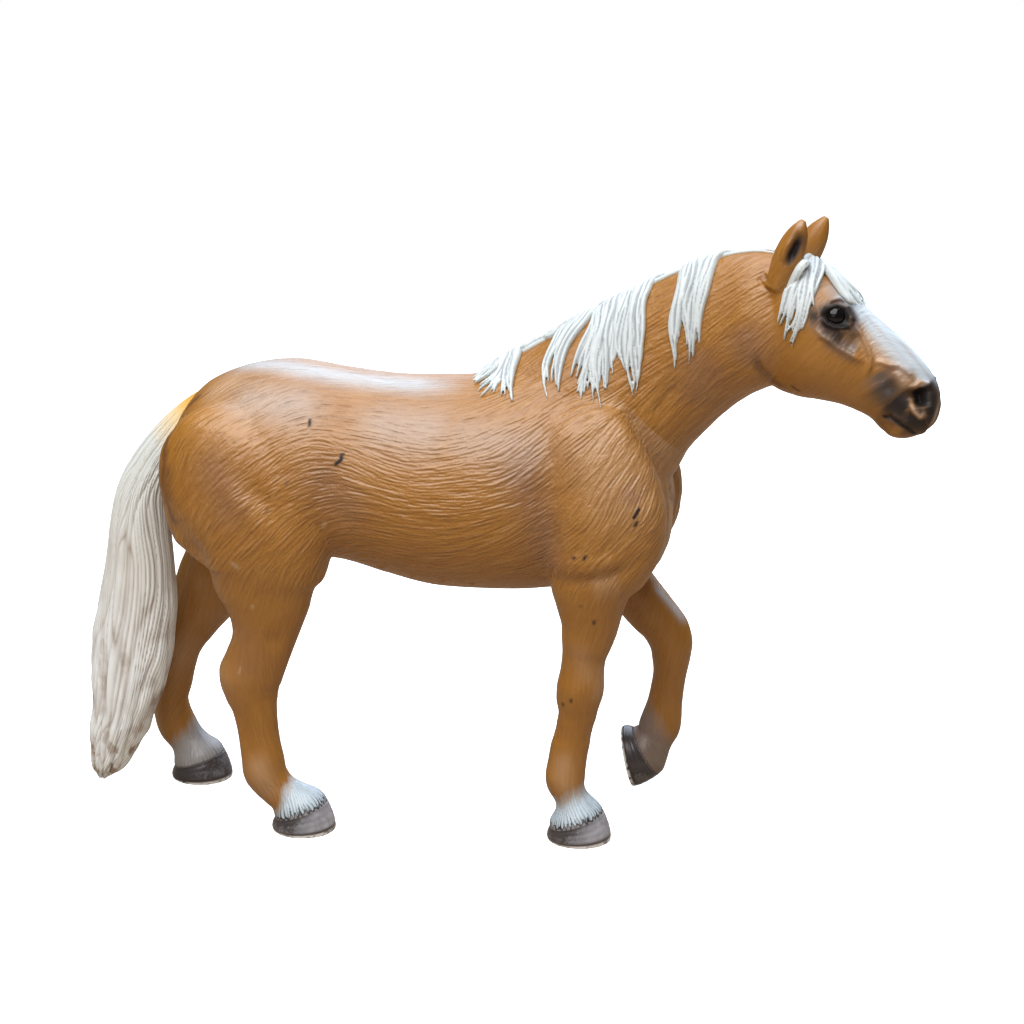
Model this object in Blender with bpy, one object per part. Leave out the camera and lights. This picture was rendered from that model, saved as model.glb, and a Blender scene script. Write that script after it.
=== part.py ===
"""A toy horse of solid PVC, standing on three legs with its left foreleg raised.

The figure is sculpted as lofts through hand-drawn outlines, which are grown together into one skin.
The skin is then cut into the mouldings that are glued together: a torso, a head with its neck and
four legs, each with a peg in a socket. The tail, the mane, the forelock, the hooves and the eyes
are solids of their own, seated in beds of their own shape with one seam gap all round.

Metres, +Z up. The horse looks along +X, its right side is -Y and its soles stand on z = 0.
"""

import math

import bmesh
import bpy
import numpy as np
from mathutils import Matrix, Vector
from mathutils.bvhtree import BVHTree

MM = 0.001
HUNDREDTH = 0.01

# Driving sizes of the whole figure
TRUNK_LENGTH = 86.0 * MM
WITHERS_HEIGHT = 80.0 * MM
BARREL_WIDTH = 35.0 * MM
POLL_HEIGHT = 100.0 * MM
POLL_REACH = 46.0 * MM
NECK_BEND = 7.0 * MM
HEAD_LENGTH = 36.0 * MM
HEAD_WIDTH = 14.0 * MM
HEAD_TURN = math.radians(16.0)
BEYOND = TRUNK_LENGTH + POLL_HEIGHT + HEAD_LENGTH

# Legs and hooves
STANCE_WIDTH = 22.0 * MM
KNEE_DEPTH = 7.4 * MM
KNEE_WIDTH = 7.2 * MM
HOOF_LENGTH = 10.9 * MM
HOOF_WIDTH = 10.6 * MM
HOOF_HEIGHT = 4.8 * MM
HEEL_HEIGHT = 1.9 * MM
RAISED_HOOF_PITCH = math.radians(77.0)

# Small features
TAIL_WIDTH = 14.6 * MM
TAIL_THICKNESS = 11.0 * MM
LOCK_WIDTH = 2.7 * MM
LOCK_THICKNESS = 2.0 * MM
EAR_LENGTH = 12.0 * MM
EAR_WIDTH = 4.8 * MM
EAR_THICKNESS = 4.0 * MM
EAR_CUP_DEPTH = 1.2 * MM
EYE_DIAMETER = 4.2 * MM
EYE_PROUD = 0.9 * MM
NOSTRIL_DIAMETER = 3.8 * MM
NOSTRIL_DEPTH = 1.1 * MM

# How the mouldings meet
SEAM_GAP = 0.3 * MM
PEG_DIAMETER = 4.4 * MM
PEG_LENGTH = 5.0 * MM
NECK_PEG_DIAMETER = 8.0 * MM

# Fineness of the skins
BODY_VOXEL = 1.0 * MM
HEAD_VOXEL = 0.62 * MM
HAIR_VOXEL = 0.4 * MM
BED_VOXEL = 0.25 * MM
BODY_SMOOTHING_COUNT = 6
HEAD_SMOOTHING_COUNT = 4
HAIR_SMOOTHING_COUNT = 4
BED_SMOOTHING_COUNT = 0
SMOOTHING_FACTOR = 0.5
BODY_KEEP_SHARE = 0.065
HEAD_KEEP_SHARE = 0.045
HAIR_KEEP_SHARE = 0.07
BED_KEEP_SHARE = 0.022
RING_SIDES = 28
PEG_SIDES = 16
BALL_SIDES = 14
BALL_RINGS = 9
ROWS_PER_SPAN = 3
TAIL_ROWS_PER_SPAN = 2

# Finishes
COAT_COLOUR = (0.42, 0.20, 0.065)
HAIR_COLOUR = (0.72, 0.74, 0.70)
HOOF_COLOUR = (0.20, 0.16, 0.14)
EYE_COLOUR = (0.008, 0.006, 0.005)
SATIN = 0.5
GLOSSY = 0.12
SHARP_ANGLE = math.radians(50.0)


# Outlines, in hundredths of the size that each follows
# Rows of x, top, underside and full width, along the trunk from rump to breast
TRUNK_SHARES = (
    (-64.0, 81.0, 70.0, 26.0),
    (-62.5, 86.2, 65.5, 46.0),
    (-58.5, 92.3, 61.5, 68.0),
    (-54.0, 95.8, 58.5, 82.0),
    (-47.0, 98.5, 56.5, 93.0),
    (-39.0, 99.5, 57.0, 97.0),
    (-30.0, 98.2, 57.5, 96.0),
    (-21.0, 97.0, 55.0, 97.0),
    (-12.0, 96.8, 52.6, 100.0),
    (-3.0, 97.3, 52.0, 100.0),
    (5.5, 99.5, 52.0, 96.0),
    (12.5, 100.5, 52.6, 90.0),
    (19.5, 99.0, 53.8, 84.0),
    (26.5, 95.0, 55.2, 76.0),
    (32.0, 87.0, 57.4, 62.0),
    (34.8, 77.0, 63.5, 38.0),
)

# Rows of crest x and z, throat x and z, sideways bend, turn and full width, along the neck
NECK_SHARES = (
    (-17.0, -8.0, -40.0, -30.0, 0.0, 0.0, 62.0),
    (1.0, 10.0, 0.0, 2.0, 0.0, 0.0, 62.0),
    (18.0, 31.0, 16.0, 29.0, 4.0, 8.0, 53.0),
    (38.5, 55.0, 34.0, 48.5, 17.0, 30.0, 47.0),
    (59.0, 78.0, 54.5, 68.5, 40.0, 55.0, 43.0),
    (78.0, 94.5, 77.0, 86.0, 66.0, 80.0, 41.0),
    (95.0, 102.5, 101.0, 98.0, 91.0, 95.0, 40.0),
    (112.0, 97.0, 130.0, 108.0, 104.0, 100.0, 36.0),
)

# Rows of forehead reach and drop, jaw reach and drop, and full width, from the poll to the lips
HEAD_SHARES = (
    (-3.0, -4.0, -4.0, -46.0, 56.0),
    (5.5, 0.5, 0.5, -58.5, 79.0),
    (16.3, -3.2, 12.0, -62.8, 96.0),
    (26.8, -9.2, 23.0, -63.7, 100.0),
    (37.0, -17.2, 33.0, -65.0, 91.0),
    (46.6, -24.9, 41.0, -67.5, 74.0),
    (56.1, -31.9, 47.0, -70.5, 63.0),
    (64.6, -39.4, 51.6, -75.3, 59.0),
    (71.2, -46.6, 56.4, -78.3, 60.0),
    (75.5, -54.0, 64.0, -77.6, 58.0),
    (77.0, -61.5, 71.0, -76.0, 47.0),
)

# Rows of x, height, distance from the midline, depth and width, down each leg
RIGHT_FORE_SHARES = (
    (12.5, 94.0, 50.0, 110.0, 50.0),
    (16.0, 87.5, 82.0, 250.0, 132.0),
    (20.0, 77.5, 93.0, 297.0, 167.0),
    (22.3, 69.0, 98.0, 290.0, 175.0),
    (21.5, 61.5, 100.0, 249.0, 167.0),
    (20.5, 56.5, 100.0, 192.0, 150.0),
    (20.3, 52.5, 98.0, 159.0, 136.0),
    (20.2, 48.0, 96.0, 132.0, 119.0),
    (19.6, 44.0, 95.0, 116.0, 106.0),
    (19.1, 41.0, 93.0, 101.0, 94.0),
    (18.7, 37.5, 91.0, 98.0, 98.0),
    (18.4, 34.0, 91.0, 102.0, 104.0),
    (18.1, 31.0, 91.0, 97.0, 94.0),
    (17.8, 27.5, 90.0, 87.0, 75.0),
    (16.9, 23.0, 89.0, 87.0, 67.0),
    (16.2, 19.5, 89.0, 88.0, 69.0),
    (15.7, 15.5, 89.0, 89.0, 81.0),
    (15.6, 12.5, 89.0, 90.0, 87.0),
    (16.6, 9.5, 89.0, 74.0, 80.0),
    (17.7, 6.9, 89.0, 84.0, 94.0),
    (18.2, 4.4, 89.0, 112.0, 115.0),
    (18.4, 0.0, 89.0, 122.0, 122.0),
)
LEFT_FORE_SHARES = (
    (12.5, 94.0, 50.0, 110.0, 50.0),
    (16.5, 87.5, 82.0, 250.0, 132.0),
    (21.0, 77.5, 93.0, 297.0, 167.0),
    (24.0, 69.0, 98.0, 284.0, 175.0),
    (23.6, 62.0, 100.0, 236.0, 167.0),
    (22.4, 56.5, 100.0, 154.0, 150.0),
    (24.1, 51.3, 100.0, 130.0, 136.0),
    (27.1, 47.0, 100.0, 119.0, 122.0),
    (30.2, 43.0, 100.0, 116.0, 108.0),
    (32.8, 39.8, 100.0, 108.0, 100.0),
    (34.4, 36.0, 100.0, 101.0, 103.0),
    (34.6, 32.5, 100.0, 92.0, 97.0),
    (34.4, 28.8, 100.0, 80.0, 81.0),
    (33.9, 25.0, 100.0, 80.0, 69.0),
    (33.5, 22.0, 100.0, 84.0, 69.0),
    (33.0, 18.8, 100.0, 95.0, 81.0),
    (32.5, 16.3, 100.0, 98.0, 87.0),
    (31.5, 13.8, 100.0, 92.0, 81.0),
    (30.4, 12.0, 100.0, 99.0, 94.0),
    (28.9, 10.5, 100.0, 112.0, 115.0),
    (26.0, 8.9, 100.0, 122.0, 122.0),
)
RIGHT_HIND_SHARES = (
    (-40.0, 90.0, 52.0, 170.0, 80.0),
    (-43.5, 82.5, 84.0, 400.0, 190.0),
    (-45.2, 72.5, 97.0, 419.0, 208.0),
    (-44.0, 64.5, 104.0, 378.0, 194.0),
    (-43.1, 59.0, 105.0, 305.0, 175.0),
    (-43.2, 54.5, 104.0, 243.0, 153.0),
    (-43.0, 50.0, 103.0, 200.0, 136.0),
    (-43.3, 45.5, 102.0, 163.0, 119.0),
    (-44.1, 41.3, 102.0, 143.0, 108.0),
    (-45.6, 37.0, 101.0, 143.0, 106.0),
    (-46.8, 33.3, 100.0, 142.0, 106.0),
    (-46.7, 30.0, 100.0, 124.0, 94.0),
    (-46.1, 27.0, 100.0, 107.0, 81.0),
    (-45.6, 22.5, 100.0, 97.0, 72.0),
    (-45.2, 18.8, 100.0, 97.0, 72.0),
    (-44.7, 15.3, 100.0, 100.0, 83.0),
    (-44.2, 12.0, 100.0, 101.0, 89.0),
    (-41.8, 8.6, 100.0, 88.0, 82.0),
    (-38.9, 6.2, 100.0, 94.0, 94.0),
    (-37.2, 4.2, 100.0, 112.0, 115.0),
    (-36.6, 0.0, 100.0, 122.0, 122.0),
)
LEFT_HIND_SHARES = (
    (-40.0, 90.0, 52.0, 170.0, 80.0),
    (-44.0, 82.5, 84.0, 400.0, 190.0),
    (-47.0, 72.5, 97.0, 405.0, 208.0),
    (-47.2, 64.0, 104.0, 300.0, 194.0),
    (-50.0, 57.5, 105.0, 240.0, 172.0),
    (-55.5, 52.0, 104.0, 231.0, 150.0),
    (-59.5, 47.0, 103.0, 193.0, 133.0),
    (-62.3, 42.5, 102.0, 164.0, 119.0),
    (-65.0, 38.5, 102.0, 150.0, 108.0),
    (-67.3, 34.8, 101.0, 144.0, 106.0),
    (-68.5, 31.0, 100.0, 126.0, 97.0),
    (-69.0, 27.0, 100.0, 108.0, 83.0),
    (-69.4, 22.5, 100.0, 94.0, 75.0),
    (-70.1, 18.8, 100.0, 87.0, 72.0),
    (-69.8, 15.0, 100.0, 92.0, 83.0),
    (-68.8, 11.7, 100.0, 97.0, 89.0),
    (-66.9, 8.7, 100.0, 89.0, 82.0),
    (-65.3, 6.3, 100.0, 94.0, 94.0),
    (-64.3, 4.3, 100.0, 112.0, 115.0),
    (-63.8, 0.0, 100.0, 122.0, 122.0),
)

# Rows of x, height, width and thickness down the middle of the tail
TAIL_SHARES = (
    (-53.5, 91.5, 34.0, 40.0),
    (-58.4, 87.4, 46.0, 56.0),
    (-63.2, 82.3, 53.0, 72.0),
    (-67.2, 76.6, 58.0, 82.0),
    (-70.2, 70.0, 65.0, 90.0),
    (-71.4, 62.5, 72.0, 96.0),
    (-71.8, 54.0, 81.0, 100.0),
    (-72.5, 46.0, 92.0, 100.0),
    (-73.8, 36.5, 98.0, 100.0),
    (-75.2, 27.5, 92.0, 96.0),
    (-77.1, 18.8, 75.0, 84.0),
    (-79.5, 11.3, 59.0, 66.0),
    (-81.2, 6.5, 36.0, 44.0),
    (-81.8, 3.8, 10.0, 16.0),
)

# Rows of place along and down from the crest line, in its own length, and thickness of each lock of the mane
CREST_SHARES = (
    (-2.5, -5.0, 60.0),
    (3.0, -8.0, 190.0),
    (10.0, -8.0, 150.0),
    (20.0, -7.0, 100.0),
    (34.0, -7.0, 100.0),
    (58.0, -7.0, 100.0),
    (80.0, -6.0, 110.0),
    (101.0, -2.0, 110.0),
)
MANE_SHARES = (
    ((3.0, -8.0, 160.0), (-8.0, -6.0, 90.0), (-21.0, -4.0, 60.0)),
    ((4.0, -7.0, 160.0), (-8.0, -1.0, 90.0), (-19.0, 4.0, 60.0)),
    ((5.0, -6.0, 140.0), (-5.0, 1.0, 90.0), (-12.0, 9.0, 60.0)),
    ((6.0, -6.0, 120.0), (0.0, 0.0, 90.0), (-8.0, 12.0, 60.0)),
    ((37.0, -7.0, 100.0), (20.0, -5.0, 100.0), (10.0, 3.0, 90.0), (3.0, 16.0, 60.0)),
    ((37.0, -6.0, 100.0), (23.0, -4.0, 100.0), (15.0, 4.0, 90.0), (10.5, 15.0, 60.0)),
    ((41.0, -7.0, 100.0), (29.5, 1.5, 100.0), (17.0, 12.0, 60.0)),
    ((43.0, -7.0, 100.0), (27.0, 6.0, 100.0), (14.0, 21.0, 60.0)),
    ((46.0, -7.0, 100.0), (31.0, 7.0, 110.0), (20.0, 28.0, 60.0)),
    ((51.0, -7.0, 100.0), (36.0, 6.0, 110.0), (26.0, 22.0, 60.0)),
    ((55.0, -7.0, 100.0), (41.0, 5.0, 110.0), (33.0, 18.0, 60.0)),
    ((59.0, -7.0, 100.0), (46.0, 6.0, 100.0), (34.0, 28.0, 60.0)),
    ((61.0, -6.0, 100.0), (49.5, 3.0, 100.0), (43.0, 13.0, 90.0), (38.0, 24.0, 60.0)),
    ((76.0, -6.0, 100.0), (64.5, 2.0, 100.0), (57.5, 12.0, 90.0), (52.5, 25.0, 60.0)),
    ((80.0, -6.0, 100.0), (68.0, 3.0, 110.0), (60.0, 16.0, 90.0), (57.0, 26.0, 60.0)),
    ((85.0, -5.0, 110.0), (73.0, 4.0, 120.0), (63.0, 18.0, 90.0), (60.0, 24.0, 60.0)),
    ((90.0, -4.0, 110.0), (77.0, 4.0, 110.0), (70.0, 11.0, 90.0), (64.0, 22.0, 60.0)),
)

# The same for the locks of the forelock, in the head's own reach and drop
TEMPLE_SHARES = (
    ((12.0, 1.0, 110.0), (9.0, -9.0, 100.0), (4.0, -22.0, 80.0), (0.5, -35.0, 50.0)),
    ((14.0, 1.0, 110.0), (13.0, -11.0, 100.0), (8.0, -26.0, 80.0), (4.5, -42.0, 50.0)),
    ((16.0, 0.0, 110.0), (18.0, -11.0, 100.0), (14.0, -24.0, 80.0), (10.0, -39.0, 50.0)),
    ((17.0, 0.0, 110.0), (21.0, -9.0, 100.0), (19.0, -20.0, 80.0), (16.0, -30.0, 50.0)),
)
BROW_SHARES = (
    ((9.0, 1.5, 100.0), (18.0, -0.5, 190.0), (26.0, -5.0, 90.0), (34.0, -11.0, 100.0), (41.0, -19.0, 40.0)),
    ((11.0, 1.5, 100.0), (21.0, -2.5, 170.0), (28.0, -7.0, 80.0), (37.0, -14.0, 100.0), (43.0, -21.0, 40.0)),
)

# Rows of place along an ear and of its width, from root to tip
EAR_SHARES = (
    (0.0, 75.0),
    (20.0, 90.0),
    (42.0, 100.0),
    (62.0, 92.0),
    (78.0, 72.0),
    (90.0, 44.0),
    (98.0, 20.0),
)

# Reach and drop of places on the head, in its own length
RIGHT_EAR_SHARES = ((4.5, -13.0), (16.5, 18.5))
LEFT_EAR_SHARES = ((4.5, -13.0), (20.0, 16.5))
EYE_SHARES = (32.5, -23.0)
NOSTRIL_SHARES = (71.0, -57.5)
THROAT_SHARES = (0.5, -58.5)

# Shares of one
TRUNK_EGG_SHARE = -0.12
NECK_EGG_SHARE = -0.25
HEAD_EGG_SHARE = 0.06
WITHERS_PLACE_SHARE = 0.055
BREAST_HEIGHT_SHARE = 0.76
NECK_SEAM_SHARE = 0.286
EAR_SPREAD_SHARE = 0.31
EAR_CUP_WIDTH_SHARE = 0.55
EAR_CUP_LENGTH_SHARE = 0.5
EAR_CUP_PLACE_SHARE = 0.52
FLUTE_SHARE = 0.05
LOCK_LIFT_SHARE = 0.15
LOCK_ROOT_SHARE = 0.9
LOCK_TIP_SHARE = 0.3
HOOF_WALL_SHARES = ((0.0, 1.0), (0.5, 0.96), (1.0, 0.84))
CORONET_LEAN_SHARE = 0.045
LEG_SEAM_SHARE = 0.505
GIRTH_SHARE = -0.14

FLUTE_COUNT = 7


def clear_scene():
    """Take every object out of the open file."""
    for item in list(bpy.data.objects):
        bpy.data.objects.remove(item, do_unlink=True)


def curve_rows(rows, steps):
    """A smooth curve through rows of hundredths: a Catmull-Rom cubic of four rows in each span."""
    rows = np.array(rows) * HUNDREDTH
    padded = np.vstack([2 * rows[0] - rows[1], rows, 2 * rows[-1] - rows[-2]])
    fine = []
    for first in range(len(rows) - 1):
        before, start, end, after = padded[first:first + 4]
        slope = end - before
        bend = 2 * before - 5 * start + 4 * end - after
        twist = 3 * (start - end) + after - before
        for step in range(steps):
            t = step / steps
            fine.append(start + (slope * t + bend * t ** 2 + twist * t ** 3) / 2)
    fine.append(rows[-1])
    return np.array(fine)


def new_object(name, work):
    """Put a finished bmesh into the scene as an object."""
    mesh = bpy.data.meshes.new(name)
    work.to_mesh(mesh)
    work.free()
    made = bpy.data.objects.new(name, mesh)
    bpy.context.collection.objects.link(made)
    return made


def skin_rings(name, points, frame=Matrix.Identity(4)):
    """A closed skin over rings of points, each with as many points as the next."""
    work = bmesh.new()
    rings = [[work.verts.new(point) for point in ring] for ring in points]
    work.faces.new(rings[0])
    work.faces.new(rings[-1])
    for ring, following in zip(rings, rings[1:]):
        for side in range(len(ring)):
            work.faces.new((ring[side - 1], ring[side], following[side], following[side - 1]))
    bmesh.ops.transform(work, matrix=frame, verts=work.verts)
    bmesh.ops.recalc_face_normals(work, faces=work.faces)
    return new_object(name, work)


def loft(name, centres, depths, widths, egg=0.0, fluting=0.0):
    """A closed tube with a ring round each centre, spanned by its half depth and half width vectors.

    A ring is depth * cos(a) + width * sin(a) * (1 + egg * cos(a)), so egg makes it broader at the
    depth's end than at the other, and fluting waves its radius.
    """
    angles = np.linspace(0.0, 2.0 * math.pi, RING_SIDES, endpoint=False)[None, :, None]
    fore = np.cos(angles)
    across = np.sin(angles) * (1.0 + egg * np.cos(angles))
    flutes = 1.0 + fluting * np.cos(FLUTE_COUNT * angles)
    rings = (depths[:, None, :] * fore + widths[:, None, :] * across) * flutes
    return skin_rings(name, centres[:, None, :] + rings)


def unit(vectors):
    """Vectors, each along the last axis of an array, brought to length one."""
    return vectors / np.linalg.norm(vectors, axis=-1, keepdims=True)


def limb(name, centres, depths, widths, side_axis, fluting=0.0):
    """A tube of full depth and width square to its own centre line, level along side_axis."""
    along = unit(np.gradient(centres, axis=0))
    fore = unit(np.cross(side_axis, along))
    across = np.cross(along, fore)
    return loft(name, centres, fore * depths[:, None] / 2, across * widths[:, None] / 2, fluting=fluting)


def apply_modifiers(item):
    """Bake an object's modifiers into its mesh."""
    depsgraph = bpy.context.evaluated_depsgraph_get()
    mesh = bpy.data.meshes.new_from_object(item.evaluated_get(depsgraph))
    item.modifiers.clear()
    item.data = mesh


def joined(name, items):
    """One object that holds the closed meshes of several."""
    work = bmesh.new()
    for item in items:
        work.from_mesh(item.data)
        bpy.data.objects.remove(item, do_unlink=True)
    return new_object(name, work)


def copied(item, name):
    """A second object with its own copy of the mesh."""
    made = bpy.data.objects.new(name, item.data.copy())
    bpy.context.collection.objects.link(made)
    return made


def fuse(item, voxel):
    """Give an object one new skin round all its tubes."""
    skin = item.modifiers.new("skin", "REMESH")
    skin.mode = "VOXEL"
    skin.voxel_size = voxel


def grow_together(item, voxel, smoothing, keep):
    """Fuse the overlapping tubes of an object into one skin, soften its creases and thin its faces."""
    fuse(item, voxel)
    soften = item.modifiers.new("soften", "SMOOTH")
    soften.factor = SMOOTHING_FACTOR
    soften.iterations = smoothing
    thin = item.modifiers.new("thin", "DECIMATE")
    thin.ratio = keep
    apply_modifiers(item)
    return item


def boolean(item, other, operation):
    """Cut or join an object with another closed object, which is used up."""
    change = item.modifiers.new("change", "BOOLEAN")
    change.operation = operation
    change.object = other
    apply_modifiers(item)
    bpy.data.objects.remove(other, do_unlink=True)


def bed_of(item):
    """The room that a seated piece needs: its own shape, evenly skinned and pushed out by the seam gap."""
    bed = copied(item, "bed")
    fuse(bed, BED_VOXEL)
    push = bed.modifiers.new("push", "DISPLACE")
    push.strength = SEAM_GAP
    push.mid_level = 0.0
    return grow_together(bed, BED_VOXEL, BED_SMOOTHING_COUNT, BED_KEEP_SHARE)


def block(low, high, frame=Matrix.Identity(4)):
    """A box between two corners of a frame."""
    low, high = Vector(low), Vector(high)
    place = Matrix.Translation((low + high) / 2) @ Matrix.Diagonal((*(high - low), 1.0))
    work = bmesh.new()
    bmesh.ops.create_cube(work, size=1.0, matrix=frame @ place)
    return new_object("block", work)


def rod(start, end, radius):
    """A round peg between two points."""
    axis = end - start
    turn = axis.to_track_quat("Z", "Y").to_matrix().to_4x4()
    work = bmesh.new()
    bmesh.ops.create_cone(work, cap_ends=True, segments=PEG_SIDES, radius1=radius, radius2=radius,
                          depth=axis.length, matrix=Matrix.Translation((start + end) / 2) @ turn)
    return new_object("rod", work)


def ball(centre, radii, turn=Matrix.Identity(4)):
    """An ellipsoid about a centre."""
    shape = Matrix.Translation(centre) @ turn @ Matrix.Diagonal((*radii, 1.0))
    work = bmesh.new()
    bmesh.ops.create_uvsphere(work, u_segments=BALL_SIDES, v_segments=BALL_RINGS, radius=1.0, matrix=shape)
    return new_object("ball", work)


def trunk():
    """The barrel, from the rump to the breast."""
    x, top, under, width = curve_rows(TRUNK_SHARES, ROWS_PER_SPAN).T
    level = 0.0 * x
    centres = np.column_stack([x * TRUNK_LENGTH, level, (top + under) / 2 * WITHERS_HEIGHT])
    depths = np.column_stack([level, level, (top - under) / 2 * WITHERS_HEIGHT])
    widths = np.column_stack([level, width / 2 * BARREL_WIDTH, level])
    return loft("trunk", centres, depths, widths, TRUNK_EGG_SHARE)


def head_axes():
    """The directions forward, to the left and up of the turned head."""
    forward = np.array([math.cos(HEAD_TURN), -math.sin(HEAD_TURN), 0.0])
    left = np.array([math.sin(HEAD_TURN), math.cos(HEAD_TURN), 0.0])
    return forward, left, np.array([0.0, 0.0, 1.0])


def head_place(reach, drop, aside=0.0):
    """A point of the head, from its reach and drop from the poll and its distance to the left."""
    forward, left, up = head_axes()
    poll = np.array([POLL_REACH, -NECK_BEND, POLL_HEIGHT])
    steps = np.multiply.outer(reach, forward) + np.multiply.outer(drop, up)
    return poll + steps * HEAD_LENGTH + left * aside


def head_spot(shares, aside=0.0):
    """The same point, from a pair of hundredths."""
    reach, drop = shares
    return head_place(reach * HUNDREDTH, drop * HUNDREDTH, aside)


def withers_point():
    """The top of the trunk's outline where the neck's crest starts."""
    return np.array([WITHERS_PLACE_SHARE * TRUNK_LENGTH, 0.0, WITHERS_HEIGHT])


def neck_sections():
    """Centre, half depth and half width vectors of each section of the neck."""
    rows = curve_rows(NECK_SHARES, ROWS_PER_SPAN)
    breast_reach = TRUNK_SHARES[-1][0] * HUNDREDTH * TRUNK_LENGTH
    breast = np.array([breast_reach, 0.0, BREAST_HEIGHT_SHARE * WITHERS_HEIGHT])
    level = 0.0 * rows[:, 0]
    crest_run = head_place(0.0, 0.0) - withers_point()
    throat_run = head_spot(THROAT_SHARES) - breast
    crest = withers_point() + crest_run * np.column_stack([rows[:, 0], level, rows[:, 1]])
    throat = breast + throat_run * np.column_stack([rows[:, 2], level, rows[:, 3]])
    aside = np.column_stack([level, -rows[:, 4] * NECK_BEND, level])
    turn = rows[:, 5] * HEAD_TURN
    sideways = np.column_stack([np.sin(turn), np.cos(turn), level])
    return (crest + throat) / 2 + aside, (crest - throat) / 2, sideways * rows[:, 6:] * BARREL_WIDTH / 2


def neck():
    """The neck, from inside the trunk to inside the head, narrower along its crest."""
    return loft("neck", *neck_sections(), NECK_EGG_SHARE)


def head():
    """The head, from the poll to the lips."""
    rows = curve_rows(HEAD_SHARES, ROWS_PER_SPAN)
    brow = head_place(rows[:, 0], rows[:, 1])
    jaw = head_place(rows[:, 2], rows[:, 3])
    _, left, _ = head_axes()
    widths = np.multiply.outer(rows[:, 4] * HEAD_WIDTH / 2, left)
    return loft("head", (brow + jaw) / 2, (brow - jaw) / 2, widths, HEAD_EGG_SHARE)


EARS = ((RIGHT_EAR_SHARES, -1), (LEFT_EAR_SHARES, 1))


def ear_line(shares, side):
    """The root of an ear and the direction to its tip."""
    root, tip = (head_spot(place, side * EAR_SPREAD_SHARE * HEAD_WIDTH) for place in shares)
    return root, unit(tip - root)


def ear(shares, side):
    """One ear, a leaf that is round at its root and leans forward to its tip."""
    rows = curve_rows(EAR_SHARES, ROWS_PER_SPAN)
    root, rise = ear_line(shares, side)
    centres = root + np.multiply.outer(rows[:, 0] * EAR_LENGTH, rise)
    _, left, _ = head_axes()
    return limb("ear", centres, rows[:, 1] * EAR_WIDTH, rows[:, 1] * EAR_THICKNESS, left)


def ear_cup(shares, side):
    """The hollow of an ear, which faces forward and outward."""
    root, rise = ear_line(shares, side)
    forward, left, _ = head_axes()
    opening = unit(np.cross(np.cross(rise, forward + side * left), rise))
    turn = Matrix((np.cross(rise, opening), rise, opening)).transposed().to_4x4()
    place = root + rise * EAR_CUP_PLACE_SHARE * EAR_LENGTH + opening * EAR_WIDTH / 2
    radii = (EAR_CUP_WIDTH_SHARE * EAR_WIDTH / 2, EAR_CUP_LENGTH_SHARE * EAR_LENGTH / 2, EAR_CUP_DEPTH)
    return ball(place, radii, turn)


def leg(shares, side):
    """One leg with its shoulder or thigh, from inside the trunk to inside the hoof."""
    x, height, aside, depth, width = curve_rows(shares, ROWS_PER_SPAN).T
    centres = np.column_stack([x * TRUNK_LENGTH, side * aside * STANCE_WIDTH / 2, height * WITHERS_HEIGHT])
    return limb("leg", centres, depth * KNEE_DEPTH, width * KNEE_WIDTH, (0.0, 1.0, 0.0))


LEGS = (
    ("right_foreleg", "right_fore_hoof", RIGHT_FORE_SHARES, -1, 0.0),
    ("left_foreleg", "left_fore_hoof", LEFT_FORE_SHARES, 1, RAISED_HOOF_PITCH),
    ("right_hind_leg", "right_hind_hoof", RIGHT_HIND_SHARES, -1, 0.0),
    ("left_hind_leg", "left_hind_hoof", LEFT_HIND_SHARES, 1, 0.0),
)


def figure(voxel, smoothing, keep):
    """The whole skin of the horse without its hair, hooves and eyes."""
    parts = [trunk(), neck(), head()]
    parts += [ear(shares, side) for shares, side in EARS]
    parts += [leg(shares, side) for _, _, shares, side, _ in LEGS]
    return grow_together(joined("figure", parts), voxel, smoothing, keep)


def seam_frame():
    """The frame of the neck seam: its third axis runs square through the seam towards the head."""
    centres, depths, widths = neck_sections()
    row = round(NECK_SEAM_SHARE * (len(centres) - 1))
    fore = Vector(depths[row]).normalized()
    across = -Vector(widths[row]).normalized()
    frame = Matrix((fore, across, fore.cross(across))).transposed().to_4x4()
    frame.translation = Vector(centres[row])
    return frame


def leg_middle(shares, side):
    """The middle of a leg where the leg seam crosses it."""
    x, height, aside = (np.array(shares)[::-1, :3] * HUNDREDTH).T
    return Vector((np.interp(LEG_SEAM_SHARE, height, x) * TRUNK_LENGTH,
                   side * np.interp(LEG_SEAM_SHARE, height, aside) * STANCE_WIDTH / 2,
                   LEG_SEAM_SHARE * WITHERS_HEIGHT))


def hoof_frame(shares, side, pitch):
    """The frame of a hoof: the middle of its sole, with the toe along x and the leg above it."""
    x, height, aside = (share * HUNDREDTH for share in shares[-1][:3])
    place = Vector((x * TRUNK_LENGTH, side * aside * STANCE_WIDTH / 2, height * WITHERS_HEIGHT))
    return Matrix.Translation(place) @ Matrix.Rotation(pitch, 4, "Y")


def hoof(name, frame):
    """A hoof: a slanted wall from the flat sole up to the coronet, which falls from toe to heel."""
    angles = np.linspace(0.0, 2.0 * math.pi, RING_SIDES, endpoint=False)
    heights = (HOOF_HEIGHT + HEEL_HEIGHT) / 2 + np.cos(angles) * (HOOF_HEIGHT - HEEL_HEIGHT) / 2
    rings = []
    for rise, reach in HOOF_WALL_SHARES:
        lean = -CORONET_LEAN_SHARE * HOOF_LENGTH * rise
        rings.append(np.column_stack([lean + np.cos(angles) * reach * HOOF_LENGTH / 2,
                                      np.sin(angles) * reach * HOOF_WIDTH / 2, heights * rise]))
    return skin_rings(name, rings, frame)


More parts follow.
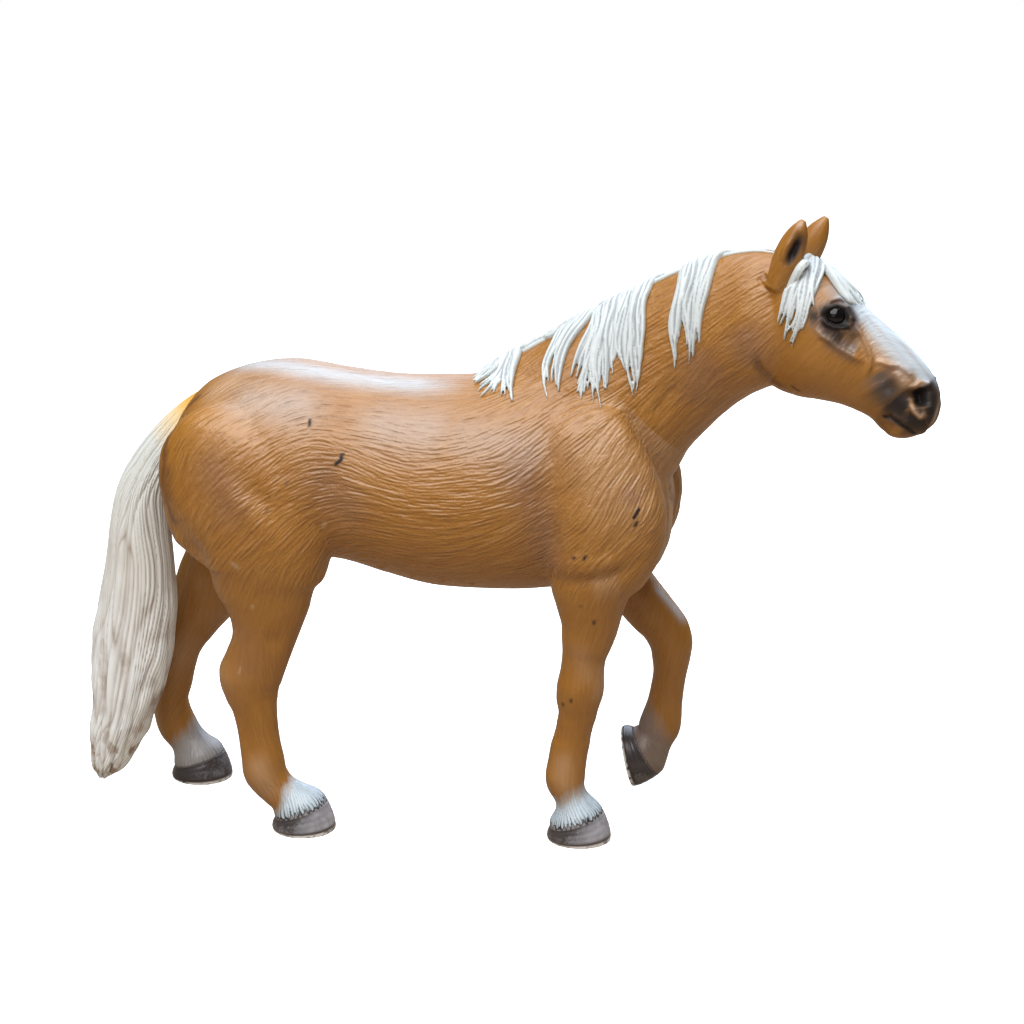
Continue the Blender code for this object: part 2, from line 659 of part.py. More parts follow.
def hoof_room(frame):
    """A block over the hoof that ends one seam gap above its coronet."""
    slope = math.atan2(HOOF_HEIGHT - HEEL_HEIGHT, HOOF_WALL_SHARES[-1][1] * HOOF_LENGTH)
    middle = Matrix.Translation((-CORONET_LEAN_SHARE * HOOF_LENGTH, 0.0, (HOOF_HEIGHT + HEEL_HEIGHT) / 2))
    coronet = frame @ middle @ Matrix.Rotation(-slope, 4, "Y")
    return block((-HOOF_LENGTH, -HOOF_WIDTH, -HOOF_LENGTH), (HOOF_LENGTH, HOOF_WIDTH, SEAM_GAP), coronet)


def part_neck(torso, head_and_neck):
    """Cut both skins at the neck seam, and peg the head's side into the torso's."""
    frame = seam_frame()
    boolean(torso, block((-BEYOND, -BEYOND, -SEAM_GAP / 2), (BEYOND, BEYOND, BEYOND), frame), "DIFFERENCE")
    boolean(head_and_neck, block((-BEYOND, -BEYOND, SEAM_GAP / 2), (BEYOND, BEYOND, BEYOND), frame), "INTERSECT")
    root = frame @ Vector((0.0, 0.0, PEG_LENGTH))
    tip = frame @ Vector((0.0, 0.0, -PEG_LENGTH))
    socket_end = frame @ Vector((0.0, 0.0, -PEG_LENGTH - SEAM_GAP))
    boolean(head_and_neck, rod(root, tip, NECK_PEG_DIAMETER / 2), "UNION")
    boolean(torso, rod(root, socket_end, NECK_PEG_DIAMETER / 2 + SEAM_GAP), "DIFFERENCE")


def part_legs(torso):
    """Cut the legs from the torso, make room for their hooves and peg each into the torso."""
    body = copied(torso, "body")
    girth = GIRTH_SHARE * TRUNK_LENGTH
    torso_foot = LEG_SEAM_SHARE * WITHERS_HEIGHT + SEAM_GAP / 2
    leg_top = LEG_SEAM_SHARE * WITHERS_HEIGHT - SEAM_GAP / 2
    boolean(torso, block((-BEYOND, -BEYOND, -BEYOND), (BEYOND, BEYOND, torso_foot)), "DIFFERENCE")
    legs = []
    for name, _, shares, side, pitch in LEGS:
        middle = leg_middle(shares, side)
        ends = (girth, BEYOND) if middle.x > girth else (-BEYOND, girth)
        flanks = (0.0, BEYOND) if side > 0 else (-BEYOND, 0.0)
        piece = copied(body, name)
        boolean(piece, block((ends[0], flanks[0], -BEYOND), (ends[1], flanks[1], leg_top)), "INTERSECT")
        boolean(piece, hoof_room(hoof_frame(shares, side, pitch)), "DIFFERENCE")
        up = Vector((0.0, 0.0, PEG_LENGTH))
        boolean(piece, rod(middle - up, middle + up, PEG_DIAMETER / 2), "UNION")
        socket_end = middle + up + Vector((0.0, 0.0, SEAM_GAP))
        boolean(torso, rod(middle - up, socket_end, PEG_DIAMETER / 2 + SEAM_GAP), "DIFFERENCE")
        legs.append(piece)
    bpy.data.objects.remove(body, do_unlink=True)
    return legs


class Surface:
    """The skin of the figure, on which hair and eyes are laid."""

    def __init__(self, item):
        self.tree = BVHTree.FromPolygons([v.co.copy() for v in item.data.vertices],
                                         [tuple(p.vertices) for p in item.data.polygons])

    def beside(self, start, direction):
        """The first point and normal that a line through start meets, or else the nearest to start."""
        start, direction = Vector(start), Vector(direction)
        point, normal, _, _ = self.tree.ray_cast(start - direction * BEYOND, direction)
        if point is None:
            point, normal, _, _ = self.tree.find_nearest(start)
        return point, normal


def lay_lock(surface, places, direction, thicknesses):
    """A flat lock of hair, laid on the skin along places that are seen in a direction."""
    laid = [surface.beside(place, direction) for place in places]
    points = np.array([point for point, _ in laid])
    normals = np.array([normal for _, normal in laid])
    across = unit(np.cross(np.gradient(points, axis=0), normals))
    along = np.linspace(0.0, 1.0, len(points))[:, None]
    breadth = LOCK_ROOT_SHARE + (1.0 - LOCK_ROOT_SHARE) * np.sin(math.pi * along)
    breadth += (LOCK_TIP_SHARE - LOCK_ROOT_SHARE) * along ** 3
    lifts = normals * thicknesses[:, None] * LOCK_THICKNESS
    return loft("lock", points + lifts * LOCK_LIFT_SHARE, lifts / 2, across * breadth * LOCK_WIDTH / 2)


def hair(name, locks):
    """Locks of hair grown together into one piece."""
    return grow_together(joined(name, locks), HAIR_VOXEL, HAIR_SMOOTHING_COUNT, HAIR_KEEP_SHARE)


def mane(surface):
    """The mane: a strip along the crest, and the locks that fall from it over the right side."""
    withers = withers_point()
    rise = head_place(0.0, 0.0) - withers
    rise[1] = 0.0
    fall = np.array([rise[2], 0.0, -rise[0]])
    locks = []
    for shares in (CREST_SHARES, *MANE_SHARES):
        along, down, thickness = curve_rows(shares, ROWS_PER_SPAN).T
        places = withers + np.multiply.outer(along, rise) + np.multiply.outer(down, fall)
        places[:, 1] -= NECK_BEND * np.maximum(along, 0.0) ** 2
        locks.append(lay_lock(surface, places, (0.0, 1.0, 0.0), thickness))
    return hair("mane", locks)


def forelock(surface):
    """The forelock: locks over the right temple, and locks down the middle of the brow."""
    forward, left, up = head_axes()
    locks = []
    for group, direction in ((TEMPLE_SHARES, left), (BROW_SHARES, -unit(forward + up))):
        for shares in group:
            reach, drop, thickness = curve_rows(shares, ROWS_PER_SPAN).T
            locks.append(lay_lock(surface, head_place(reach, drop), direction, thickness))
    return hair("forelock", locks)


def tail():
    """The tail: one bunch of hair with rounded flutes, thick in the middle and pointed at its end."""
    x, height, width, thickness = curve_rows(TAIL_SHARES, TAIL_ROWS_PER_SPAN).T
    centres = np.column_stack([x * TRUNK_LENGTH, 0.0 * x, height * WITHERS_HEIGHT])
    return limb("tail", centres, width * TAIL_WIDTH, thickness * TAIL_THICKNESS, (0.0, 1.0, 0.0), FLUTE_SHARE)


def eye_ball(surface, side, room):
    """An eyeball, set into the side of the head with a little of it proud, and the room round it."""
    _, left, _ = head_axes()
    point, normal = surface.beside(head_spot(EYE_SHARES), -side * left)
    return ball(point - normal * (EYE_DIAMETER / 2 - EYE_PROUD), (EYE_DIAMETER / 2 + room,) * 3)


def nostril(surface, side):
    """The hollow of a nostril."""
    _, left, _ = head_axes()
    point, normal = surface.beside(head_spot(NOSTRIL_SHARES), -side * left)
    turn = normal.to_track_quat("Z", "Y").to_matrix().to_4x4()
    return ball(point, (NOSTRIL_DIAMETER / 2, NOSTRIL_DIAMETER / 2, NOSTRIL_DEPTH), turn)


def finish(item, name, colour, roughness):
    """Name a piece, shade its round faces smooth and give it its own material."""
    item.name = name
    item.data.name = name
    surface = bpy.data.materials.new(name)
    surface.use_nodes = True
    shader = surface.node_tree.nodes["Principled BSDF"]
    shader.inputs["Base Color"].default_value = (*colour, 1.0)
    shader.inputs["Roughness"].default_value = roughness
    shader.inputs["Metallic"].default_value = 0.0
    item.data.materials.clear()
    item.data.materials.append(surface)
    item.data.shade_smooth()
    item.data.set_sharp_from_angle(angle=SHARP_ANGLE)


def main():
    clear_scene()
    torso = figure(BODY_VOXEL, BODY_SMOOTHING_COUNT, BODY_KEEP_SHARE)
    head_and_neck = figure(HEAD_VOXEL, HEAD_SMOOTHING_COUNT, HEAD_KEEP_SHARE)
    surface = Surface(head_and_neck)
    part_neck(torso, head_and_neck)
    legs = part_legs(torso)

    for shares, side in EARS:
        boolean(head_and_neck, ear_cup(shares, side), "DIFFERENCE")
    for name, side in (("right_eye", -1), ("left_eye", 1)):
        boolean(head_and_neck, nostril(surface, side), "DIFFERENCE")
        boolean(head_and_neck, eye_ball(surface, side, SEAM_GAP), "DIFFERENCE")
        finish(eye_ball(surface, side, 0.0), name, EYE_COLOUR, GLOSSY)

    for piece, seats in ((mane(surface), (torso, head_and_neck)), (forelock(surface), (head_and_neck,)),
                         (tail(), (torso,))):
        for seat in seats:
            boolean(seat, bed_of(piece), "DIFFERENCE")
        finish(piece, piece.name, HAIR_COLOUR, SATIN)

    finish(torso, "torso", COAT_COLOUR, SATIN)
    finish(head_and_neck, "head_and_neck", COAT_COLOUR, SATIN)
    for piece in legs:
        finish(piece, piece.name, COAT_COLOUR, SATIN)
    for _, name, shares, side, pitch in LEGS:
        finish(hoof(name, hoof_frame(shares, side, pitch)), name, HOOF_COLOUR, SATIN)


main()
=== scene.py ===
# %% [markdown]
# # A toy horse of solid PVC, dressed
# The imported CAD part is loaded as a fixed frame. Everything here is laid over it in the same metres.
# The figure is one sculpted skin, as the real one comes from one sculpt: tubes through given
# outlines are grown together, muscles and hair are pressed into the skin, and it is parted where
# the mouldings of the CAD meet.

import math

import bmesh
import bpy
import numpy as np
from mathutils import Matrix, Vector
from mathutils.bvhtree import BVHTree


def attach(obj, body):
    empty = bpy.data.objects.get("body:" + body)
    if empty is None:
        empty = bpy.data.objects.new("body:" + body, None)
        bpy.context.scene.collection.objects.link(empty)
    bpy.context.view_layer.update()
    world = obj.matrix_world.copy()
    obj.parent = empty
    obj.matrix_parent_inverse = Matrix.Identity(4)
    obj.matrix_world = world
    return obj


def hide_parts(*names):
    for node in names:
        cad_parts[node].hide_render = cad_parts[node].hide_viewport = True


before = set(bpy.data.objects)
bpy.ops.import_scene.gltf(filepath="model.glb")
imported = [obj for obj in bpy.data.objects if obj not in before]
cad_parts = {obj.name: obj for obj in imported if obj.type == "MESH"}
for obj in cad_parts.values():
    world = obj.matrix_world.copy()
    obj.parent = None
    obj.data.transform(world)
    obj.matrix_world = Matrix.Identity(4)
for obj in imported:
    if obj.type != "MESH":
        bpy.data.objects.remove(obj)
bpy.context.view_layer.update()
MM = 0.001
HUNDREDTH = 0.01

# %% [markdown]
# ## Camera
# The photograph was taken from a little in front of the horse's right side and a little above it.
# A point of the picture can be followed back along its line of sight, which is how marks are placed.

# %% Camera
IMAGE_SIDE = 1024
SENSOR = 36.0
LENS = 84.375
VIEW_AZIMUTH = math.radians(7.0)
VIEW_ELEVATION = math.radians(15.0)
VIEW_DISTANCE = 400.0 * MM
VIEW_TARGET = np.array([3.65, -4.7, 55.5]) * MM


def placed(name, data, place=(0.0, 0.0, 0.0), turned=None):
    """An object of the scene from its data, put somewhere and turned."""
    made = bpy.data.objects.new(name, data)
    bpy.context.collection.objects.link(made)
    made.location = place
    if turned:
        made.rotation_mode = "QUATERNION"
        made.rotation_quaternion = turned
    return made


back = np.array([math.sin(VIEW_AZIMUTH) * math.cos(VIEW_ELEVATION),
                 -math.cos(VIEW_AZIMUTH) * math.cos(VIEW_ELEVATION), math.sin(VIEW_ELEVATION)])
eye_point = VIEW_TARGET + back * VIEW_DISTANCE
camera_data = bpy.data.cameras.new("camera")
camera_data.lens = LENS
camera_data.sensor_width = SENSOR
camera_data.clip_start = 10.0 * MM
camera_data.clip_end = 5000.0 * MM
camera = placed("camera", camera_data, eye_point, Vector(-back).to_track_quat("-Z", "Y"))
bpy.context.scene.camera = camera
sight_right, sight_up, _ = np.array(camera.rotation_quaternion.to_matrix()).T


def sight_lines(pixels):
    """Unit directions from the camera through points of the picture."""
    across = (np.asarray(pixels, float) - IMAGE_SIDE / 2) * SENSOR / (LENS * IMAGE_SIDE)
    lines = -back + across[..., :1] * sight_right - across[..., 1:] * sight_up
    return lines / np.linalg.norm(lines, axis=-1, keepdims=True)


print("camera at mm:", np.round(eye_point / MM, 1))

# %% [markdown]
# ## Outlines
# The CAD grows the figure from these sizes and tables, so the dressed skin follows the same ones.
# A table gives rows of hundredths of the sizes, read off the photograph.

# %% Outlines
# The whole figure
TRUNK_LENGTH = 86.0 * MM
WITHERS_HEIGHT = 80.0 * MM
BARREL_WIDTH = 35.0 * MM
POLL_HEIGHT = 100.0 * MM
POLL_REACH = 46.0 * MM
NECK_BEND = 7.0 * MM
HEAD_LENGTH = 36.0 * MM
HEAD_WIDTH = 14.0 * MM
HEAD_TURN = math.radians(16.0)

# Legs and hooves
STANCE_WIDTH = 22.0 * MM
KNEE_DEPTH = 7.4 * MM
KNEE_WIDTH = 7.2 * MM
HOOF_LENGTH = 10.9 * MM
HOOF_WIDTH = 10.6 * MM
HOOF_HEIGHT = 4.8 * MM
HEEL_HEIGHT = 1.9 * MM
RAISED_HOOF_PITCH = math.radians(77.0)

# Small features
TAIL_WIDTH = 14.6 * MM
TAIL_THICKNESS = 11.0 * MM
EAR_LENGTH = 12.0 * MM
EAR_WIDTH = 4.8 * MM
EAR_THICKNESS = 4.0 * MM
EYE_DIAMETER = 4.2 * MM
EYE_PROUD = 0.9 * MM

# Outlines, in hundredths of the size that each follows
# Rows of x, top, underside and full width, along the trunk from rump to breast
TRUNK_SHARES = (
    (-64, 81, 70, 26), (-62.5, 86.2, 65.5, 46), (-58.5, 92.3, 61.5, 68), (-54, 95.8, 58.5, 82),
    (-47, 98.5, 56.5, 93), (-39, 99.5, 57, 97), (-30, 98.2, 57.5, 96), (-21, 97, 55, 97),
    (-12, 96.8, 52.6, 100), (-3, 97.3, 52, 100), (5.5, 99.5, 52, 96), (12.5, 100.5, 52.6, 90),
    (19.5, 99, 53.8, 84), (26.5, 95, 55.2, 76), (32, 87, 57.4, 62), (34.8, 77, 63.5, 38),
)

# Rows of crest x and z, throat x and z, sideways bend, turn and full width, along the neck
NECK_SHARES = (
    (-17, -8, -40, -30, 0, 0, 62), (1, 10, 0, 2, 0, 0, 62), (18, 31, 16, 29, 4, 8, 53),
    (38.5, 55, 34, 48.5, 17, 30, 47), (59, 78, 54.5, 68.5, 40, 55, 43), (78, 94.5, 77, 86, 66, 80, 41),
    (95, 102.5, 101, 98, 91, 95, 40), (112, 97, 130, 108, 104, 100, 36),
)

# Rows of forehead reach and drop, jaw reach and drop, and full width, from the poll to the lips
HEAD_SHARES = (
    (-3, -4, -4, -46, 56), (5.5, 0.5, 0.5, -58.5, 79), (16.3, -3.2, 12, -62.8, 96),
    (26.8, -9.2, 23, -63.7, 100), (37, -17.2, 33, -65, 91), (46.6, -24.9, 41, -67.5, 74),
    (56.1, -31.9, 47, -70.5, 63), (64.6, -39.4, 51.6, -75.3, 59), (71.2, -46.6, 56.4, -78.3, 60),
    (75.5, -54, 64, -77.6, 58), (77, -61.5, 71, -76, 47),
)

# Rows of x, height, distance from the midline, depth and width, down each leg
RIGHT_FORE_SHARES = (
    (12.5, 94, 50, 110, 50), (16, 87.5, 82, 250, 132), (20, 77.5, 93, 297, 167),
    (22.3, 69, 98, 290, 175), (21.5, 61.5, 100, 249, 167), (20.5, 56.5, 100, 192, 150),
    (20.3, 52.5, 98, 159, 136), (20.2, 48, 96, 132, 119), (19.6, 44, 95, 116, 106),
    (19.1, 41, 93, 101, 94), (18.7, 37.5, 91, 98, 98), (18.4, 34, 91, 102, 104),
    (18.1, 31, 91, 97, 94), (17.8, 27.5, 90, 87, 75), (16.9, 23, 89, 87, 67), (16.2, 19.5, 89, 88, 69),
    (15.7, 15.5, 89, 89, 81), (15.6, 12.5, 89, 90, 87), (16.6, 9.5, 89, 74, 80),
    (17.7, 6.9, 89, 84, 94), (18.2, 4.4, 89, 112, 115), (18.4, 0, 89, 122, 122),
)
LEFT_FORE_SHARES = (
    (12.5, 94, 50, 110, 50), (16.5, 87.5, 82, 250, 132), (21, 77.5, 93, 297, 167),
    (24, 69, 98, 284, 175), (23.6, 62, 100, 236, 167), (22.4, 56.5, 100, 154, 150),
    (24.1, 51.3, 100, 130, 136), (27.1, 47, 100, 119, 122), (30.2, 43, 100, 116, 108),
    (32.8, 39.8, 100, 108, 100), (34.4, 36, 100, 101, 103), (34.6, 32.5, 100, 92, 97),
    (34.4, 28.8, 100, 80, 81), (33.9, 25, 100, 80, 69), (33.5, 22, 100, 84, 69),
    (33, 18.8, 100, 95, 81), (32.5, 16.3, 100, 98, 87), (31.5, 13.8, 100, 92, 81),
    (30.4, 12, 100, 99, 94), (28.9, 10.5, 100, 112, 115), (26, 8.9, 100, 122, 122),
)
RIGHT_HIND_SHARES = (
    (-40, 90, 52, 170, 80), (-43.5, 82.5, 84, 400, 190), (-45.2, 72.5, 97, 419, 208),
    (-44, 64.5, 104, 378, 194), (-43.1, 59, 105, 305, 175), (-43.2, 54.5, 104, 243, 153),
    (-43, 50, 103, 200, 136), (-43.3, 45.5, 102, 163, 119), (-44.1, 41.3, 102, 143, 108),
    (-45.6, 37, 101, 143, 106), (-46.8, 33.3, 100, 142, 106), (-46.7, 30, 100, 124, 94),
    (-46.1, 27, 100, 107, 81), (-45.6, 22.5, 100, 97, 72), (-45.2, 18.8, 100, 97, 72),
    (-44.7, 15.3, 100, 100, 83), (-44.2, 12, 100, 101, 89), (-41.8, 8.6, 100, 88, 82),
    (-38.9, 6.2, 100, 94, 94), (-37.2, 4.2, 100, 112, 115), (-36.6, 0, 100, 122, 122),
)
LEFT_HIND_SHARES = (
    (-40, 90, 52, 170, 80), (-44, 82.5, 84, 400, 190), (-47, 72.5, 97, 405, 208),
    (-47.2, 64, 104, 300, 194), (-50, 57.5, 105, 240, 172), (-55.5, 52, 104, 231, 150),
    (-59.5, 47, 103, 193, 133), (-62.3, 42.5, 102, 164, 119), (-65, 38.5, 102, 150, 108),
    (-67.3, 34.8, 101, 144, 106), (-68.5, 31, 100, 126, 97), (-69, 27, 100, 108, 83),
    (-69.4, 22.5, 100, 94, 75), (-70.1, 18.8, 100, 87, 72), (-69.8, 15, 100, 92, 83),
    (-68.8, 11.7, 100, 97, 89), (-66.9, 8.7, 100, 89, 82), (-65.3, 6.3, 100, 94, 94),
    (-64.3, 4.3, 100, 112, 115), (-63.8, 0, 100, 122, 122),
)

# Rows of x, height, width and thickness down the middle of the tail
TAIL_SHARES = (
    (-53.5, 91.5, 34, 40), (-58.4, 87.4, 46, 56), (-63.2, 82.3, 53, 72), (-67.2, 76.6, 58, 82),
    (-70.2, 70, 65, 90), (-71.4, 62.5, 72, 96), (-71.8, 54, 81, 100), (-72.5, 46, 92, 100),
    (-73.8, 36.5, 98, 100), (-75.2, 27.5, 92, 96), (-77.1, 18.8, 75, 84), (-79.5, 11.3, 59, 66),
    (-81.2, 6.5, 36, 44), (-81.8, 3.8, 10, 16),
)

# Rows of place along an ear and of its width, from root to tip
EAR_SHARES = (
    (0, 75), (20, 90), (42, 100), (62, 92), (78, 72), (90, 44), (98, 20),
)

# Reach and drop of places on the head, in its own length
RIGHT_EAR_SHARES = ((4.5, -13.0), (16.5, 18.5))
LEFT_EAR_SHARES = ((4.5, -13.0), (20.0, 16.5))
EYE_SHARES = (32.5, -23.0)
THROAT_SHARES = (0.5, -58.5)

TRUNK_EGG_SHARE = -0.12
NECK_EGG_SHARE = -0.25
HEAD_EGG_SHARE = 0.06
WITHERS_PLACE_SHARE = 0.055
BREAST_HEIGHT_SHARE = 0.76
NECK_SEAM_SHARE = 0.286
EAR_SPREAD_SHARE = 0.31
HOOF_TOP_SHARE = 0.84
CORONET_LEAN_SHARE = 0.045
LEG_SEAM_SHARE = 0.505
GIRTH_SHARE = -0.14

# %% [markdown]
# ## Tubes
# Each part of the figure is a tube of rings. A tube is one grid of points, row by row, and its
# faces are counted out in one array. Smooth rows between those of a table come from a cubic.

# %% Tubes
TUBE_SIDES = 72
SMOOTHING_FACTOR = 0.5


def curve_rows(rows, steps):
    """Catmull-Rom cubics, s + ((e-b)t + (2b-5s+4e-a)t^2 + (3(s-e)+a-b)t^3) / 2, through hundredths."""
    rows = np.array(rows, float) * HUNDREDTH
    padded = np.vstack([2 * rows[0] - rows[1], rows, 2 * rows[-1] - rows[-2]])
    b, s, e, a = (padded[k:len(rows) - 1 + k, None, :] for k in range(4))
    t = (np.arange(steps) / steps)[None, :, None]
    spans = s + ((e - b) * t + (2 * b - 5 * s + 4 * e - a) * t ** 2 + (3 * (s - e) + a - b) * t ** 3) / 2
    return np.vstack([spans.reshape(-1, rows.shape[1]), rows[-1:]])


def unit(vectors):
    """Vectors along the last axis, brought to length one."""
    return vectors / np.maximum(np.linalg.norm(vectors, axis=-1, keepdims=True), 1e-12)


def dot(one, other):
    """The scalar product along the last axis, kept as a column."""
    return np.sum(one * other, axis=-1, keepdims=True)


def tube_faces(rows, sides, ends=True):
    """Quads between the rings of a tube, and its two ends."""
    ring = np.arange(sides)
    lower = np.arange(rows - 1)[:, None] * sides + ring
    beside = np.arange(rows - 1)[:, None] * sides + np.roll(ring, -1)
    quads = np.stack([lower, beside, beside + sides, lower + sides], -1).reshape(-1, 4)
    return quads.tolist() + ends * [ring[::-1].tolist(), (ring + (rows - 1) * sides).tolist()]


def loft(centres, depths, widths, sides=TUBE_SIDES, egg=0.0):
    """Rings centre + depth cos(a) + width sin(a) (1 + egg cos(a)): an array of rows, sides and xyz."""
    angles = np.linspace(0.0, 2 * math.pi, sides, endpoint=False)[None, :, None]
    across = np.sin(angles) * (1 + egg * np.cos(angles))
    return centres[:, None] + depths[:, None] * np.cos(angles) + widths[:, None] * across


def limb(centres, depths, widths, side_axis, sides=TUBE_SIDES):
    """Rings of full depth and width square to their own centre line, level along side_axis."""
    along = unit(np.gradient(centres, axis=0))
    fore = unit(np.cross(side_axis, along))
    across = np.cross(along, fore)
    return loft(centres, fore * depths[:, None] / 2, across * widths[:, None] / 2, sides)


def mesh_object(name, points, faces):
    """A mesh object in the scene from whole arrays."""
    mesh = bpy.data.meshes.new(name)
    mesh.from_pydata(points.reshape(-1, 3), [], faces)
    return placed(name, mesh)


def grown(name, tubes, voxel, smoothing):
    """One skin round overlapping tubes: their voxel union, its creases softened."""
    faces, start = [], 0
    for tube in tubes:
        faces += [[start + k for k in face] for face in tube_faces(*tube.shape[:2])]
        start += tube.shape[0] * tube.shape[1]
    made = mesh_object(name, np.vstack([tube.reshape(-1, 3) for tube in tubes]), faces)
    union = made.modifiers.new("union", "REMESH")
    union.mode, union.voxel_size = "VOXEL", voxel
    soften = made.modifiers.new("soften", "SMOOTH")
    soften.factor = SMOOTHING_FACTOR
    soften.iterations = smoothing
    depsgraph = bpy.context.evaluated_depsgraph_get()
    mesh = bpy.data.meshes.new_from_object(made.evaluated_get(depsgraph))
    bpy.data.objects.remove(made, do_unlink=True)
    return mesh


# %% [markdown]
# ## The horse's tubes
# Trunk, neck, head, ears and legs take their rings from the outlines, as in the CAD. The head is
# turned to the horse's right, and the neck bends into that turn.

# %% The horse's tubes
STEPS = 8
TRUNK_SIDES = 120
EAR_SIDES = 48
TOP_RING_SHARE = 0.72
_, Y_AXIS, Z_AXIS = np.eye(3)
HEAD_FORWARD = np.array([math.cos(HEAD_TURN), -math.sin(HEAD_TURN), 0.0])
HEAD_LEFT = np.array([math.sin(HEAD_TURN), math.cos(HEAD_TURN), 0.0])
POLL = np.array([POLL_REACH, -NECK_BEND, POLL_HEIGHT])
WITHERS = np.array([WITHERS_PLACE_SHARE * TRUNK_LENGTH, 0.0, WITHERS_HEIGHT])


def head_place(reach, drop, aside=0.0):
    """A point of the head from its reach and drop from the poll, in head lengths, and its side."""
    steps = np.multiply.outer(reach, HEAD_FORWARD) + np.multiply.outer(drop, Z_AXIS)
    return POLL + steps * HEAD_LENGTH + HEAD_LEFT * aside


def head_spot(shares, aside=0.0):
    """The same point from a pair of hundredths."""
    return head_place(shares[0] * HUNDREDTH, shares[1] * HUNDREDTH, aside)


def trunk_tube():
    """Rings of the barrel, from top, underside and width at each x."""
    x, top, under, width = curve_rows(TRUNK_SHARES, STEPS).T
    level = 0.0 * x
    centres = np.column_stack([x * TRUNK_LENGTH, level, (top + under) / 2 * WITHERS_HEIGHT])
    depths = np.column_stack([level, level, (top - under) / 2 * WITHERS_HEIGHT])
    widths = np.column_stack([level, width / 2 * BARREL_WIDTH, level])
    return loft(centres, depths, widths, TRUNK_SIDES, TRUNK_EGG_SHARE)


def neck_sections():
    """Centre, half depth and half width of the neck's rings, between crest and throat."""
    rows = curve_rows(NECK_SHARES, STEPS)
    reach = TRUNK_SHARES[-1][0] * HUNDREDTH * TRUNK_LENGTH
    breast = np.array([reach, 0.0, BREAST_HEIGHT_SHARE * WITHERS_HEIGHT])
    level = 0.0 * rows[:, 0]
    crest = WITHERS + (POLL - WITHERS) * np.column_stack([rows[:, 0], level, rows[:, 1]])
    throat = breast + (head_spot(THROAT_SHARES) - breast) * np.column_stack([rows[:, 2], level, rows[:, 3]])
    turn = rows[:, 5] * HEAD_TURN
    sideways = np.column_stack([np.sin(turn), np.cos(turn), level])
    aside = np.column_stack([level, -rows[:, 4] * NECK_BEND, level])
    return (crest + throat) / 2 + aside, (crest - throat) / 2, sideways * rows[:, 6:] * BARREL_WIDTH / 2


def head_tube():
    """Rings of the head between brow and jaw."""
    rows = curve_rows(HEAD_SHARES, STEPS)
    brow, jaw = head_place(rows[:, 0], rows[:, 1]), head_place(rows[:, 2], rows[:, 3])
    widths = np.multiply.outer(rows[:, 4] * HEAD_WIDTH / 2, HEAD_LEFT)
    return loft((brow + jaw) / 2, (brow - jaw) / 2, widths, egg=HEAD_EGG_SHARE)


def ear_tube(shares, side):
    """Rings of a leaf-shaped ear, from its root towards its tip."""
    along, width = curve_rows(EAR_SHARES, STEPS).T
    root, tip = (head_spot(place, side * EAR_SPREAD_SHARE * HEAD_WIDTH) for place in shares)
    return limb(root + np.multiply.outer(along * EAR_LENGTH, unit(tip - root)), width * EAR_WIDTH,
                width * EAR_THICKNESS, HEAD_LEFT, EAR_SIDES)


def leg_tube(shares, side):
    """Rings of a leg, down into its hoof."""
    x, height, aside, depth, width = curve_rows(shares, STEPS).T
    centres = np.column_stack([x * TRUNK_LENGTH, side * aside * STANCE_WIDTH / 2, height * WITHERS_HEIGHT])
    buried = np.minimum(1.0, TOP_RING_SHARE + (1 - TOP_RING_SHARE) * np.arange(len(x)) / STEPS)
    return limb(centres, buried * depth * KNEE_DEPTH, buried * width * KNEE_WIDTH, Y_AXIS)


EARS = ((RIGHT_EAR_SHARES, -1), (LEFT_EAR_SHARES, 1))
LEGS = (
    ("right_foreleg", "right_fore_hoof", RIGHT_FORE_SHARES, -1, 0.0),
    ("left_foreleg", "left_fore_hoof", LEFT_FORE_SHARES, 1, RAISED_HOOF_PITCH),
    ("right_hind_leg", "right_hind_hoof", RIGHT_HIND_SHARES, -1, 0.0),
    ("left_hind_leg", "left_hind_hoof", LEFT_HIND_SHARES, 1, 0.0),
)
tubes = [trunk_tube(), loft(*neck_sections(), egg=NECK_EGG_SHARE), head_tube()]
tubes += [ear_tube(shares, side) for shares, side in EARS]
tubes += [leg_tube(shares, side) for _, _, shares, side, _ in LEGS]
print(len(tubes), "tubes of", sum(tube.shape[0] * tube.shape[1] for tube in tubes), "points")

# %% [markdown]
# ## Skins
# The tubes are grown into one skin three times: finely for the head and neck, whose features are
# small, a little more coarsely for the legs and more so for the body. A skin keeps its points, their
# outward directions and its paint as arrays, so a stroke moves or paints every point near it at once.

# %% Skins
BODY_VOXEL = 0.4 * MM
LEG_VOXEL = 0.28 * MM
HEAD_VOXEL = 0.27 * MM
BODY_SMOOTHING = 16
LEG_SMOOTHING = 14
HEAD_SMOOTHING = 12
FOOT_REACH = 11.0 * MM
FACE_REACH = 8.5 * MM
MUZZLE_SHARES = (88, -58)
MARGIN = 2.0 * MM
PASSING_DEPTHS = np.linspace(-20.0, 20.0, 21) * MM
# Of these, white is real white and painted sheen, pale is real pale paint and painted highlights, and mauve
# and crease are painted shade
PAINTS = ("relief", "dark", "pale_and_highlight", "white_and_sheen", "ochre", "mauve_shade", "slate", "crease", "horn", "tan")


def read(items, name, width=3, kind=float):
    """One array of what every item of a mesh's collection says."""
    found = np.empty(len(items) * width, kind)
    items.foreach_get(name, found)
    return found.reshape(-1, width)


def finer(mesh, places, reach):
    """The mesh with its edges halved within reach of places."""
    points, ends = read(mesh.vertices, "co"), read(mesh.edges, "vertices", 2, np.int32)
    spans = np.linalg.norm(points[:, None] - np.array(places)[None], axis=2).min(axis=1)
    chosen = np.flatnonzero((spans[ends] < reach).all(axis=1))
    work = bmesh.new()
    work.from_mesh(mesh)
    work.edges.ensure_lookup_table()
    bmesh.ops.subdivide_edges(work, edges=[work.edges[k] for k in chosen], cuts=1, use_grid_fill=True)
    work.to_mesh(mesh)
    work.free()
    return mesh


